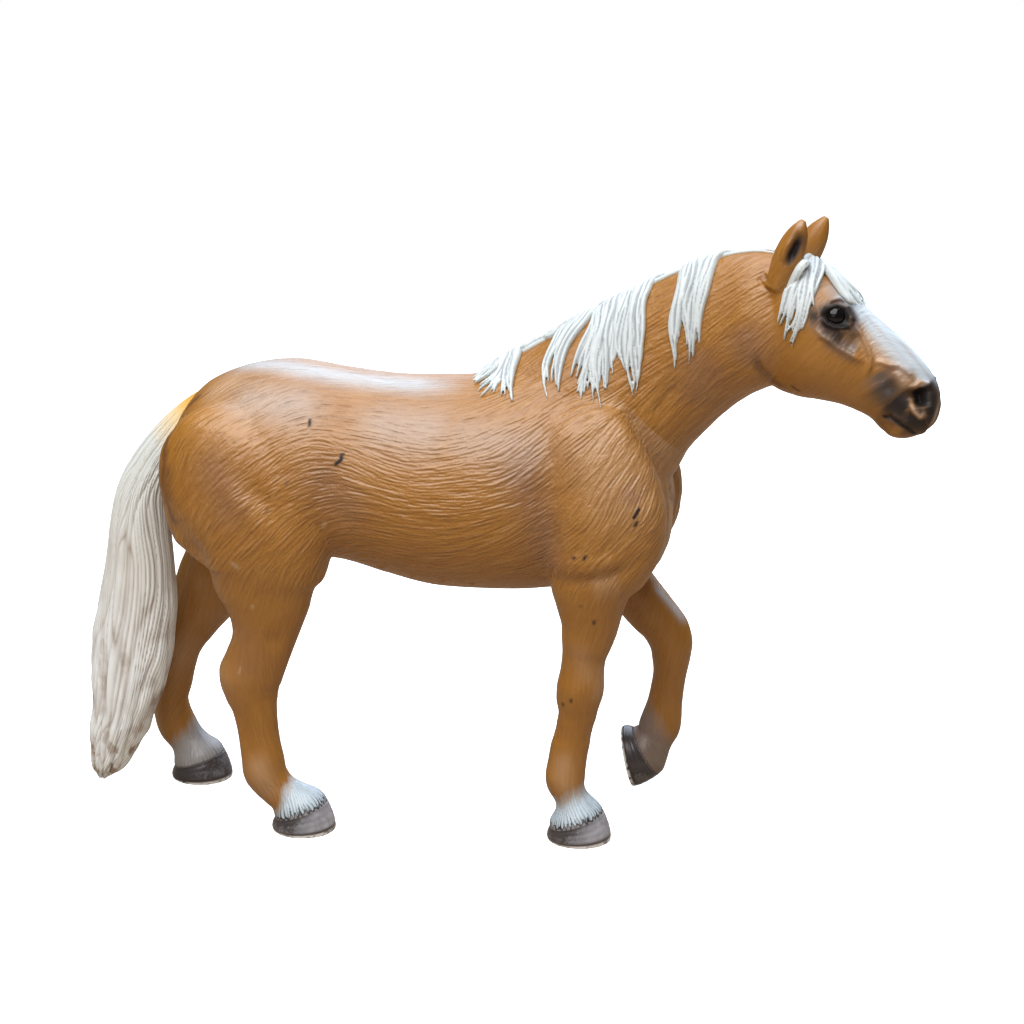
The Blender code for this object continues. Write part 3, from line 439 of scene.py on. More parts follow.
def hoof_frame(shares, side, pitch):
    """The middle of a hoof's sole, with the toe along x and the leg above it."""
    x, height, aside = (share * HUNDREDTH for share in shares[-1][:3])
    place = Vector((x * TRUNK_LENGTH, side * aside * STANCE_WIDTH / 2, height * WITHERS_HEIGHT))
    return Matrix.Translation(place) @ Matrix.Rotation(pitch, 4, "Y")


class Skin:
    """Points, outward directions, faces and paint of the part of a mesh that a mask keeps."""

    def __init__(self, mesh, keep):
        points, outward = read(mesh.vertices, "co"), read(mesh.vertex_normals, "vector")
        mesh.calc_loop_triangles()
        faces = read(mesh.loop_triangles, "vertices", 3, np.int32)
        kept = keep(points)
        self.points, self.outward = points[kept], outward[kept]
        self.faces = (np.cumsum(kept) - 1)[faces[kept[faces].all(axis=1)]]
        self.paint = {name: np.zeros(len(self.points)) for name in PAINTS}
        self.settle()

    def settle(self):
        """Make ready for marks to be laid on the points as they now are."""
        self.tree = BVHTree.FromPolygons(self.points.tolist(), self.faces.tolist())

    def lay(self, paint, strength):
        """Paint where this is stronger than the paint that is there."""
        self.paint[paint] = np.maximum(self.paint[paint], strength)


def neck_seam():
    """The middle of the seam at the root of the neck, and the direction square to it, to the head."""
    centres, depths, widths = neck_sections()
    row = round(NECK_SEAM_SHARE * (len(centres) - 1))
    return centres[row], unit(np.cross(depths[row], -widths[row]))


SEAM_POINT, SEAM_AXIS = neck_seam()
LEG_SEAM = LEG_SEAM_SHARE * WITHERS_HEIGHT


def past_seam(points):
    """How far points lie past the neck seam, towards the head."""
    return (points - SEAM_POINT) @ SEAM_AXIS


body = Skin(grown("body", tubes, BODY_VOXEL, BODY_SMOOTHING),
            lambda points: (past_seam(points) < MARGIN) & (points[:, 2] > LEG_SEAM - MARGIN))
feet = [hoof_frame(shares, side, pitch).translation for _, _, shares, side, pitch in LEGS]
legs = Skin(finer(grown("legs", tubes, LEG_VOXEL, LEG_SMOOTHING), feet, FOOT_REACH),
            lambda points: points[:, 2] < LEG_SEAM + MARGIN)
face = [head_spot(EYE_SHARES, side * HEAD_WIDTH / 2) for side in (-1, 1)] + [head_spot(MUZZLE_SHARES)]
head = Skin(finer(grown("head", tubes, HEAD_VOXEL, HEAD_SMOOTHING), face, FACE_REACH),
            lambda points: past_seam(points) > -MARGIN)
SKINS = (body, legs, head)
for skin in SKINS:
    print(len(skin.points), "points in a skin")


def first(hits):
    """The place of the nearest hit, or nothing where none of them met a skin."""
    met = [(gap, tuple(place)) for place, _, _, gap in hits if place is not None]
    return min(met)[1] if met else None


def nearest(places):
    """The points of the horse nearest to places."""
    return np.array([first(skin.tree.find_nearest(place) for skin in SKINS) for place in places])


def seen(pixels):
    """Where lines of sight through points of the picture meet the horse, or pass nearest to it."""
    found = []
    for line in sight_lines(pixels):
        met = first(skin.tree.ray_cast(eye_point, line) for skin in SKINS)
        passed = [eye_point + line * (VIEW_DISTANCE + depth) for depth in PASSING_DEPTHS]
        found.append(met or first(skin.tree.find_nearest(place) for skin in SKINS for place in passed))
    return np.array(found)


# %% [markdown]
# ## Sculpting and painting tools
# A mark is a line drawn on the picture and laid on the skin, with a depth and a width. It moves or
# paints every point near it by a bell of the distance. Marks on the far side are the same marks in
# the mirror of the horse's bent middle plane.

# %% Sculpting and painting tools
NEAR, BOTH = (1,), (1, -1)
TURN_LENGTH = 10.0 * MM
COMBING_STEPS = 11
WORD = 0xFFFFFFFF


def mirrored(points):
    """Points reflected in the horse's middle plane, which bends aside along the neck and head."""
    along = np.clip((points[:, :1] - WITHERS[0]) / (POLL_REACH - WITHERS[0]), 0.0, 1.0)
    trunk_side = points * [1, -1, 1] - np.hstack([0 * along, 2 * NECK_BEND * along ** 2, 0 * along])
    head_side = points - 2 * dot(points - POLL, HEAD_LEFT) * HEAD_LEFT
    on_head = np.clip((points[:, :1] - POLL_REACH) / TURN_LENGTH + 1.0, 0.0, 1.0)
    return trunk_side * (1 - on_head) + head_side * on_head


def line_distance(points, line):
    """Distance of every point to a polyline, and how far along it, from 0 to 1, it is nearest."""
    best = np.full(len(points), np.inf)
    place = np.zeros(len(points))
    for k, (start, end) in enumerate(zip(line, line[1:])):
        run = end - start
        t = np.clip((points - start) @ run / max(run @ run, 1e-18), 0.0, 1.0)
        gap = np.linalg.norm(points - start - t[:, None] * run, axis=1)
        nearer = gap < best
        best[nearer] = gap[nearer]
        place[nearer] = ((k + t) / (len(line) - 1))[nearer]
    return best, place


def bell(skin, line, radius, taper):
    """exp(-(distance / radius)^2) about a line on the skin, fading out over both its ends."""
    weight = np.zeros(len(skin.points))
    low, high = line.min(0) - 3 * radius, line.max(0) + 3 * radius
    near = ((skin.points > low) & (skin.points < high)).all(axis=1)
    distance, along = line_distance(skin.points[near], line)
    fade = np.clip(np.minimum(along, 1 - along) / taper, 0.0, 1.0) if taper else 1.0
    weight[near] = np.exp(-(distance / radius) ** 2) * fade
    return weight


def laid(marks, sides):
    """Marks of (strength, radius, taper, pixels) as lines on the skin, on the near side and mirrored."""
    for strength, radius, taper, *pixels in marks:
        line = seen(np.reshape(pixels, (-1, 2)))
        for side in sides:
            yield strength, line if side > 0 else nearest(mirrored(line)), radius * MM, taper


def press(skin, marks, sides=BOTH):
    """Lift the skin by strength mm along each mark, or press it in."""
    moved = sum(height * MM * bell(skin, *where) for height, *where in laid(marks, sides))
    skin.points += skin.outward * moved[:, None]


def brush(skin, paint, marks, sides=BOTH):
    """Paint the skin along marks; the strongest stroke shows."""
    for strength, *where in laid(marks, sides):
        skin.lay(paint, strength * bell(skin, *where))


def lattice(cells, seed):
    """A fixed value from 0 to 1 for each whole-numbered cell, hashed by large primes."""
    x, y, z = np.moveaxis(cells, -1, 0)
    mixed = x * 73856093 ^ y * 19349663 ^ z * 83492791 ^ seed * 2654435761
    mixed = (mixed & WORD) * 1274126177 & WORD
    mixed = (mixed ^ mixed >> 15) * 2246822519 & WORD
    return (mixed >> 8 & 0xFFFF) / 0xFFFF


def cloud(points, size, seed=0):
    """Value noise from 0 to 1: the corners of each cell blended by 3t^2 - 2t^3."""
    cells = np.floor(points / size).astype(np.int64)
    t = points / size - cells
    t = t * t * (3 - 2 * t)
    total = np.zeros(len(points))
    for corner in np.ndindex(2, 2, 2):
        share = np.prod(np.where(corner, t, 1 - t), axis=1)
        total += share * lattice(cells + corner, seed)
    return total


def combed(points, flow, length, fineness, seed=0):
    """Noise drawn out along a flow, as strands of hair are: its mean over steps along the flow."""
    steps = np.linspace(-0.5, 0.5, COMBING_STEPS) * length
    drawn = sum(cloud(points + flow * step, fineness, seed) for step in steps)
    return (drawn - drawn.mean()) / drawn.std()


print("tools ready; marks are laid on", len(SKINS), "skins")

# %% [markdown]
# ## The lie of the coat
# The toy's coat is cut with short strokes that follow the lie of the hair. Their direction is
# given at places of the picture, as a point and the way the hair runs there, and blends between.

# %% The lie of the coat
FLOW = (
    (290, 375, -12, 1), (240, 395, -12, 6), (215, 430, -11, 8), (190, 480, -4, 12), (260, 430, -12, 6),
    (230, 480, -9, 9), (280, 400, -12, 6), (305, 430, -12, 5), (330, 430, -12, 0), (346, 438, -12, -5),
    (365, 450, -12, -6), (385, 460, -12, -4), (420, 465, -12, 0), (450, 460, -12, 2),
    (500, 455, -12, 3), (530, 455, -12, 8), (545, 480, -10, 9), (350, 385, -12, -1),
    (400, 390, -12, -1), (450, 390, -12, 0), (400, 415, -12, -2), (450, 415, -12, 1),
    (500, 410, -12, 3), (340, 475, -12, -2), (360, 490, -12, -4), (400, 500, -12, -1),
    (450, 500, -12, 1), (500, 505, -12, 4), (535, 515, -11, 7), (400, 540, -12, -2),
    (470, 545, -12, 2), (270, 500, -11, 7), (300, 510, -12, 6), (330, 510, -12, 5), (250, 540, -9, 10),
    (290, 550, -8, 9), (270, 600, -4, 12), (310, 570, -6, 11), (540, 440, -12, 7), (560, 460, -12, 9),
    (590, 450, -11, 11), (610, 480, -9, 12), (600, 520, -9, 12), (640, 470, -6, 12),
    (655, 440, -7, 12), (630, 540, -9, 12), (565, 520, -10, 10), (560, 400, -11, 5),
    (600, 420, -11, 8), (650, 400, -11, 9), (680, 390, -11, 9), (700, 350, -11, 8), (720, 310, -11, 8),
    (745, 275, -11, 7), (740, 340, -10, 9), (765, 320, -10, 8), (650, 340, -11, 7), (665, 300, -11, 6),
    (600, 330, -11, 6), (720, 390, -9, 10), (600, 620, -5, 12), (570, 720, 0, 12), (260, 680, 1, 12),
    (200, 640, -4, 12), (660, 620, 3, 12), (660, 700, -2, 12), (575, 790, 1, 12), (283, 808, 1, 12),
    (306, 800, 9, 9), (562, 815, -3, 12), (592, 812, 6, 11), (800, 360, -8, 10), (830, 385, -8, 10),
    (870, 370, -8, 8), (800, 300, -8, 8), (783, 255, -5, 11), (860, 300, -9, -6), (900, 350, -8, -6),
    (850, 345, -6, 10), (910, 400, -8, 3),
)
FLOW_REACH = 6.0 * MM
FLOW_FLOOR = 1e-9
FLOW_SWAY = 0.24
SWAY_SIZE = 5 * MM


def coat_flow(skin):
    """The lie of the hair at every point, along the skin, blended from the nearest given places."""
    table = np.array(FLOW, float)
    places = seen(table[:, :2])
    ways = unit(seen(table[:, :2] + table[:, 2:]) - places)
    past_withers = np.clip((skin.points[:, :1] - WITHERS[0]) / POLL_REACH, 0, 1)
    far = skin.points[:, 1:2] > -NECK_BEND * past_withers
    near_side = np.where(far, mirrored(skin.points), skin.points)
    spans = np.linalg.norm(near_side[:, None] - places[None], axis=2)
    weights = np.exp(-(spans / FLOW_REACH) ** 2) + FLOW_FLOOR / (spans / FLOW_REACH + 0.01) ** 4
    flow = weights @ ways / weights.sum(axis=1, keepdims=True)
    flow = np.where(far, flow * [1, -1, 1], flow)
    sway = (cloud(skin.points, SWAY_SIZE, 7) - 0.5)[:, None] * 2 * FLOW_SWAY
    flow = unit(flow + sway * np.cross(skin.outward, flow))
    return unit(flow - dot(flow, skin.outward) * skin.outward)


print(len(FLOW), "directions of hair")

# %% [markdown]
# ## Muscles and features
# Broad marks raise and sink the muscles, folds and joints of the body. Fine ones cut the face:
# lids, nostrils, mouth, the ridge of the cheek and its veins. Each gives its height and radius in
# mm, its taper, and the points x, y, x, y and so on of a line of the picture.

# %% Muscles and features
BODY_MARKS = (
    (-0.5, 1.1, 0.3, 548, 572, 562, 581, 587, 580, 613, 575, 627, 568, 645, 550),
    (0.35, 1.6, 0.3, 560, 566, 590, 566, 620, 556), (-0.5, 2.4, 0.3, 540, 470, 543, 510, 551, 560),
    (0.35, 4, 0.3, 575, 500, 590, 530, 610, 548),
    (-0.5, 2.4, 0.3, 334, 530, 328, 505, 327, 485, 335, 455),
    (-0.4, 1.3, 0.3, 623, 390, 637, 432, 655, 458, 672, 482),
    (0.35, 1.6, 0.3, 612, 400, 626, 440, 645, 470, 662, 492),
    (-0.45, 1.3, 0.3, 678, 377, 665, 400, 653, 422), (-0.5, 0.7, 0.3, 667, 485, 671, 494, 675, 503),
    (0.4, 3.2, 0.3, 640, 500, 655, 520, 650, 540), (-0.35, 1.5, 0.3, 236, 470, 262, 500, 285, 530),
    (0.3, 1.8, 0.3, 215, 480, 245, 510, 270, 545), (0.3, 2.2, 0.3, 262, 470, 290, 500, 308, 530),
    (-0.3, 2.5, 0.3, 560, 400, 585, 430, 605, 460), (0.3, 1, 0.3, 380, 566, 384, 568),
    (0.3, 1, 0.3, 410, 575, 414, 576), (0.3, 1, 0.3, 440, 581, 444, 581),
    (0.3, 1, 0.3, 470, 584, 474, 584),
)
LEG_MARKS = (
    (0.3, 2.2, 0, 600, 684, 601, 694), (0.25, 2, 0, 559, 686, 558, 698),
    (-0.3, 1.6, 0.3, 558, 722, 557, 745), (-0.25, 1.4, 0.3, 593, 722, 589, 745),
    (0.3, 1.4, 0, 549, 772, 551, 780), (0.3, 1.8, 0, 222, 668, 226, 680),
    (-0.25, 1.1, 0.3, 236, 700, 248, 740, 256, 770), (0.3, 1.8, 0, 686, 622, 690, 640),
    (0.3, 1.4, 0, 642, 722, 643, 734), (-0.3, 1.6, 0.3, 262, 640, 285, 640),
    (-1.1, 3.4, 0, 176, 534, 186, 550), (-1.1, 3.2, 0, 192, 562, 206, 574),
    (-0.4, 2, 0, 326, 566, 318, 578), (0.25, 1, 0, 277, 690, 277, 695),
    (0.7, 1.8, 0.3, 172, 428, 164, 452, 163, 478, 168, 506),
)
HEAD_MARKS = (
    (-1.1, 0.9, 0.35, 788, 268, 792, 256, 798, 244, 803, 232),
    (0.35, 0.5, 0.3, 783, 262, 785, 250, 795, 236), (-1.9, 1.5, 0.25, 919.5, 387, 921, 397, 922, 408),
    (0.45, 0.5, 0, 913, 388, 920, 382.5, 927, 384),
    (0.5, 0.55, 0.15, 911, 396, 911.5, 403, 914, 411, 920, 416.5, 928, 414),
    (-0.3, 1.8, 0, 926, 436, 929, 433), (-0.35, 1.3, 0, 887, 437, 889, 438),
    (-0.2, 1.3, 0, 941, 405, 941, 408), (0.45, 0.9, 0.2, 765, 283, 772, 289, 781, 291),
    (-0.6, 0.4, 0.15, 884.3, 416.3, 890.7, 417.7, 899, 423.4, 907.9, 429, 915, 433.4),
    (0.3, 0.6, 0.2, 889, 414, 900, 419, 912, 426), (0.25, 1.6, 0, 938, 414, 936, 420),
    (0.3, 1.2, 0, 890, 432, 902, 434),
    (0.4, 0.45, 0.2, 814, 328, 822, 336, 831, 341, 839, 348, 849, 353, 858, 359, 866, 362),
    (-0.45, 1.3, 0.3, 836, 336, 846, 343, 857, 350),
    (0.55, 0.38, 0.2, 855, 323, 859, 332, 864, 341, 868, 349, 871, 358, 869, 369, 866, 378),
    (0.6, 0.38, 0.2, 872, 361, 881, 362, 889, 365, 899, 366, 906, 371, 911, 376, 914, 383),
    (-0.5, 1.2, 0.3, 878, 372, 886, 384, 893, 396), (0.5, 1, 0.3, 894, 370, 902, 381, 909, 391),
    (-0.3, 1.3, 0, 829, 318, 841, 318),
    (0.75, 0.45, 0.2, 820, 315, 827, 309.5, 836, 307, 845, 310, 850, 319, 851, 327),
    (0.6, 0.4, 0.2, 821, 317, 827, 324, 834, 327.5, 843, 328.5, 851, 327),
    (0.35, 0.5, 0.3, 822, 308, 830, 302, 840, 299, 849, 304),
    (-0.45, 0.8, 0.3, 754, 355, 759, 369, 774, 382), (-0.3, 0.35, 0.3, 761, 270, 766, 279, 774, 285),
    (-0.3, 0.35, 0.3, 757, 276, 763, 286, 772, 293), (0.3, 2.5, 0.4, 790, 345, 815, 370, 800, 388),
)
for skin in SKINS:
    press(skin, BODY_MARKS)
    press(skin, LEG_MARKS, NEAR)
press(head, HEAD_MARKS)
for skin in SKINS:
    skin.settle()
print(len(BODY_MARKS) + len(LEG_MARKS) + len(HEAD_MARKS), "marks pressed")

# %% [markdown]
# ## Paint
# The same kind of marks, with a strength for the height, lay the paint: a pale blaze, grey round the
# eye and the muzzle, ochre washes on the body, mauve painted shade and painted shade in the folds,
# painted sheen along the back and painted highlights on the body and face. Small scuffs, the painted
# shadow beside the tail and a painted highlight on the raised foreleg are on the near side only.

# %% Paint
BODY_PAINTS = {
    # Painted sheen along the back and painted highlights over the rump and barrel, in the white that also
    # paints the blaze and socks
    "white_and_sheen": (
        (0.6, 2.8, 0.15, 225, 364, 260, 364, 300, 369, 350, 377, 400, 383, 465, 387),
        (0.24, 4.5, 0, 250, 400, 295, 405), (0.2, 4.5, 0, 385, 425, 425, 430),
        (0.14, 4, 0, 465, 438, 525, 448),
    ),
    "ochre": (
        (0.55, 4.5, 0, 200, 412, 245, 425), (0.35, 3.5, 0, 255, 500, 268, 518, 285, 535),
    ),
    # Mauve painted shade behind the elbow, in the flank, at the back of the thigh, on the hind leg and on the
    # neck under the mane
    "mauve_shade": (
        (0.45, 4, 0, 212, 470, 228, 505), (0.5, 4, 0, 325, 480, 345, 505),
        (0.55, 3.5, 0, 520, 480, 540, 520, 548, 555), (0.4, 1.6, 0.3, 622, 490, 640, 505),
        (0.45, 4, 0.2, 690, 345, 704, 375, 690, 410), (0.3, 3, 0, 243, 640, 250, 665),
        (0.55, 3.5, 0.3, 735, 320, 748, 345, 752, 372),
    ),
    # Pale marks on the body: painted highlights below the elbow, on the shoulder, at the root of the neck, on
    # the hind leg and on the rump by the tail, and real pale paint up the front of two pasterns
    "pale_and_highlight": (
        (0.25, 2, 0.2, 590, 588, 622, 584), (0.3, 7, 0, 608, 455, 632, 490),
        (0.3, 6, 0, 655, 425, 660, 445), (0.25, 4, 0, 182, 655, 195, 675),
        (0.35, 3.5, 0, 220, 384, 228, 380), (0.5, 2.4, 0, 214, 392, 232, 380),
        (0.35, 2.2, 0, 258, 768, 266, 790), (0.3, 2, 0, 563, 765, 565, 786),
    ),
    # Painted shade in the folds of the elbow, the chest, the shoulder and the root of the neck
    "crease": (
        (0.3, 0.9, 0.3, 548, 572, 562, 581, 587, 580, 613, 575, 627, 568, 645, 550),
        (0.35, 0.9, 0.3, 678, 377, 665, 400, 653, 422), (0.4, 0.5, 0.3, 667, 485, 675, 503),
        (0.25, 1.2, 0.3, 623, 390, 637, 432, 663, 465),
    ),
}
SCUFFS = {
    "dark": (
        (1.3, 0.22, 0, 342.5, 454, 341, 460, 336, 464), (1, 0.2, 0, 309.8, 420, 309.8, 426),
        (1.4, 0.2, 0, 639, 509, 634, 518), (1.2, 0.2, 0, 637, 522, 635, 526),
        (1, 0.2, 0, 586, 556, 584, 559), (0.9, 0.2, 0, 573, 557, 574, 558),
        (0.8, 0.2, 0, 594, 621, 594, 624), (0.7, 0.25, 0, 563, 704, 563, 705),
        (0.8, 0.2, 0, 571, 700, 571, 702), (0.6, 0.2, 0, 581, 606, 581, 607),
        (0.6, 0.2, 0, 792, 386, 799, 391),
    ),
    # Painted shadow beside the tail, and painted shade in two small pits
    "crease": (
        (0.75, 0.7, 0, 198, 397, 183, 413, 172, 431, 165, 452, 163, 478, 168, 506, 174, 521),
        (0.6, 1.7, 0.2, 166, 460, 164, 482, 170, 508), (0.7, 0.35, 0, 287, 482, 286, 484),
        (0.6, 0.4, 0, 267, 510, 266, 513),
    ),
    "pale_and_highlight": (
        (0.6, 0.3, 0, 232, 563, 238, 568), (0.6, 0.25, 0, 252, 606, 252, 608),
        (0.6, 0.25, 0, 240, 668, 239, 673), (0.5, 0.3, 0, 324, 522, 324, 527),
        (0.2, 1.8, 0, 580, 655, 588, 675), (0.25, 1.3, 0, 600, 670, 598, 695),
    ),
    # A painted highlight along the front edge of the raised foreleg
    "white_and_sheen": (
        (0.5, 0.9, 0.2, 652, 582, 670, 603, 687, 626),
    ),
}
HEAD_PAINTS = {
    "white_and_sheen": (
        (0.9, 1.6, 0, 845, 291, 852, 303, 860, 316),
        (0.85, 1.6, 0, 858, 288, 872, 303, 888, 322, 905, 342, 920, 360, 934, 380),
        (0.85, 1.5, 0, 853, 296, 866, 310, 880, 325, 897, 345, 912, 362, 926, 378),
        (0.75, 1.5, 0.1, 858, 308, 871, 326, 886, 343, 903, 360, 918, 375),
        (0.35, 1.6, 0, 834, 290, 842, 300),
    ),
    # Pale marks on the face: painted highlights along the raised cheek ridge, the vein and the bulge by the
    # nostril, and pale paint by the blaze, on the brow and at the tip of the ear
    "pale_and_highlight": (
        (0.55, 2, 0.2, 862, 330, 876, 347, 895, 362), (0.2, 2.2, 0.3, 824, 296, 832, 292),
        (0.5, 0.45, 0.2, 814, 328, 822, 336, 831, 341, 839, 348, 849, 353, 858, 359),
        (0.4, 0.35, 0.2, 872, 361, 881, 362, 889, 365, 899, 366, 906, 371),
        (0.45, 1, 0.3, 894, 370, 902, 381, 909, 391), (0.5, 0.5, 0, 799, 224, 801, 224),
    ),
    "slate": (
        (0.75, 1.6, 0.15, 828, 335, 838, 341, 848, 347, 858, 353),
        (0.45, 1, 0.3, 806, 317, 818, 327, 834, 335), (0.8, 2.3, 0.1, 877, 372, 885, 384, 892, 396),
        (0.5, 1.6, 0, 936, 388, 939, 400), (0.5, 1.8, 0.2, 868, 374, 878, 388, 892, 404),
    ),
    "dark": (
        (1.25, 0.85, 0.35, 786, 269, 791, 256, 797, 245, 803, 234),
        (1.8, 1.3, 0.25, 919.5, 386, 921, 397, 922, 409),
        (1, 0.45, 0, 884.3, 416.3, 890.7, 417.7, 899, 423.4, 907.9, 429, 915, 433.4),
        (0.95, 3.6, 0.2, 892, 397, 899, 405, 908, 412), (0.92, 3.2, 0.2, 903, 415, 917, 421, 929, 417),
        (0.85, 1.7, 0.1, 925, 421, 935, 412), (0.8, 2, 0.2, 880, 401, 893, 410, 906, 419, 918, 425),
        (0.9, 2, 0.1, 928, 382, 931, 394, 932, 407, 929, 418),
        (0.6, 3.4, 0.2, 884, 379, 891, 391, 898, 401), (0.7, 1.7, 0.3, 903, 402, 909, 410),
        (1.3, 0.75, 0, 845.8, 317.4, 842.7, 324.8, 835.3, 327.5, 827.9, 324.8, 824.8, 317.4, 827.9,
         310, 835.3, 307.5, 842.7, 310, 845.8, 317.4),
        (1.1, 1, 0.1, 821, 316, 827, 311, 836, 308.5, 845, 312, 849, 319),
        (1.1, 0.95, 0.1, 822, 318, 828, 323.5, 836, 326, 845, 326.5, 851, 326),
        (0.75, 1, 0.3, 808, 316, 820, 316), (0.6, 1.5, 0.2, 822, 326, 833, 332, 846, 334),
        (0.8, 1, 0.1, 846, 306, 851, 314, 854, 323), (0.5, 1, 0, 852, 326, 854, 334),
    ),
    "tan": (
        (0.55, 1.7, 0.3, 897, 372, 904, 381, 909, 389),
        (0.85, 0.5, 0.2, 911.5, 396, 911.5, 403, 914, 412, 920, 417.5, 928, 414),
        (0.8, 0.5, 0.2, 912.5, 390, 918, 382.5, 926, 383), (0.55, 0.32, 0.2, 839, 330.5, 850, 331),
    ),
    # Painted shade in the folds round the eye and the ear, along the jaw and the cheek ridge, at the chin and
    # behind the ear
    "crease": (
        (0.75, 1.5, 0, 847.8, 317.4, 844, 326.2, 835.3, 329.9, 826.5, 326.2, 822.8, 317.4, 826.5,
         308.6, 835.3, 304.9, 844, 308.6, 847.8, 317.4),
        (0.6, 0.8, 0.2, 754, 355, 759, 369, 774, 382, 790, 390),
        (0.9, 0.42, 0.2, 821, 307, 830, 302, 840, 300, 848, 304),
        (0.8, 0.8, 0.1, 846, 305, 852, 313, 855, 323, 851, 330),
        (0.55, 1.2, 0.4, 790, 254, 799, 238, 804, 224),
        (0.45, 0.6, 0.2, 817, 331, 830, 345, 846, 357, 862, 366), (0.35, 1.2, 0.2, 874, 418, 888, 434),
        (0.45, 0.4, 0.2, 761, 271, 767, 280, 775, 286),
    ),
}
NECK_SHADE_MARKS = 3
for skin in (body, legs):
    for paint, marks in BODY_PAINTS.items():
        brush(skin, paint, marks)
for skin in SKINS:
    for paint, marks in SCUFFS.items():
        brush(skin, paint, marks, NEAR)
for paint, marks in HEAD_PAINTS.items():
    brush(head, paint, marks)
# The last mauve marks, painted shade on the neck, are laid on the head's skin too
brush(head, "mauve_shade", BODY_PAINTS["mauve_shade"][-NECK_SHADE_MARKS:])
print("painted", sum(map(len, (*BODY_PAINTS.values(), *SCUFFS.values(), *HEAD_PAINTS.values()))), "marks")

# %% [markdown]
# ## The coat's strokes
# Noise drawn out along the lie of the hair gives strokes, deep on the barrel and the neck and
# nearly nothing on the lower legs and the face. They are pressed in, and how deeply they are cut is kept as
# paint.

# %% The coat's strokes
STROKE_LENGTH = 5.0 * MM
STROKE_WIDTH = 0.78 * MM
STROKE_HEIGHT = 0.027 * MM
STROKE_LIMIT = 2.0
CUT_FROM, CUT_OVER = 34.0 * MM, 16.0 * MM
FACE_FROM, FACE_OVER = -3.0 * MM, 8.0 * MM
LEG_CUT, FACE_CUT_LESS = 0.4, 0.7


def relief(points):
    """How deeply the coat is cut: fully on the body, faintly on the lower legs, belly and face."""
    legs_up = np.clip((points[:, 2] - CUT_FROM) / CUT_OVER, LEG_CUT, 1.0)
    before_poll = np.sum((points - POLL) * HEAD_FORWARD, axis=1)
    return legs_up * (1 - FACE_CUT_LESS * np.clip((before_poll - FACE_FROM) / FACE_OVER, 0.0, 1.0))


for skin in SKINS:
    skin.flow = coat_flow(skin)
    strokes = combed(skin.points, skin.flow, STROKE_LENGTH, STROKE_WIDTH, 3)
    skin.paint["relief"] = relief(skin.points)
    height = STROKE_HEIGHT * np.clip(strokes, -STROKE_LIMIT, STROKE_LIMIT) * skin.paint["relief"]
    skin.points += skin.outward * height[:, None]
print("strokes cut")

# %% [markdown]
# ## Socks
# The hair of each foot flares out over its hoof. Points above the coronet are moved out to the rim
# of the hoof, cut with grooves down the pastern that get painted shade, and painted white or grey, with a
# dark jagged edge.

# %% Socks
CORONET_SLOPE = math.atan2(HOOF_HEIGHT - HEEL_HEIGHT, HOOF_TOP_SHARE * HOOF_LENGTH)
CORONET_MIDDLE = Vector((-CORONET_LEAN_SHARE * HOOF_LENGTH, 0.0, (HOOF_HEIGHT + HEEL_HEIGHT) / 2))
FLARE_HEIGHT = 2.3 * MM
RIM_SHARE = 1.03
SOCK_REACH = 0.9 * HOOF_LENGTH
SOCK_FADE = 3.0 * MM
HORN_EDGE = 0.12 * MM
JAGGED_EDGE = 0.16 * MM
SEEP_HEIGHT = 1.6 * MM
TEETH = 30
FAR_TEETH_SHARE = 0.12
TOOTH_HEIGHT = 1.0 * MM
GROOVES = 46
GROOVE_DEPTH = 0.2 * MM
# Each sock's top, slant to the toe, whiteness, greyness and depth of grooves, foot by foot
SOCKS = ((6.2 * MM, 0.15, 1.0, 0.0, 1.0), (6.5 * MM, 0.0, 0.2, 0.6, 0.12),
         (6.8 * MM, 1.3, 1.0, 0.0, 1.0), (7.5 * MM, 0.6, 0.6, 0.3, 0.4))


def coronet(shares, side, pitch):
    """The middle of a coronet, and the directions down through the hoof and along to its toe."""
    hoof = hoof_frame(shares, side, pitch)
    turned = hoof.to_3x3() @ Matrix.Rotation(-CORONET_SLOPE, 3, "Y")
    return hoof @ CORONET_MIDDLE, turned @ Vector((0.0, 0.0, -1.0)), turned @ Vector((1.0, 0.0, 0.0))


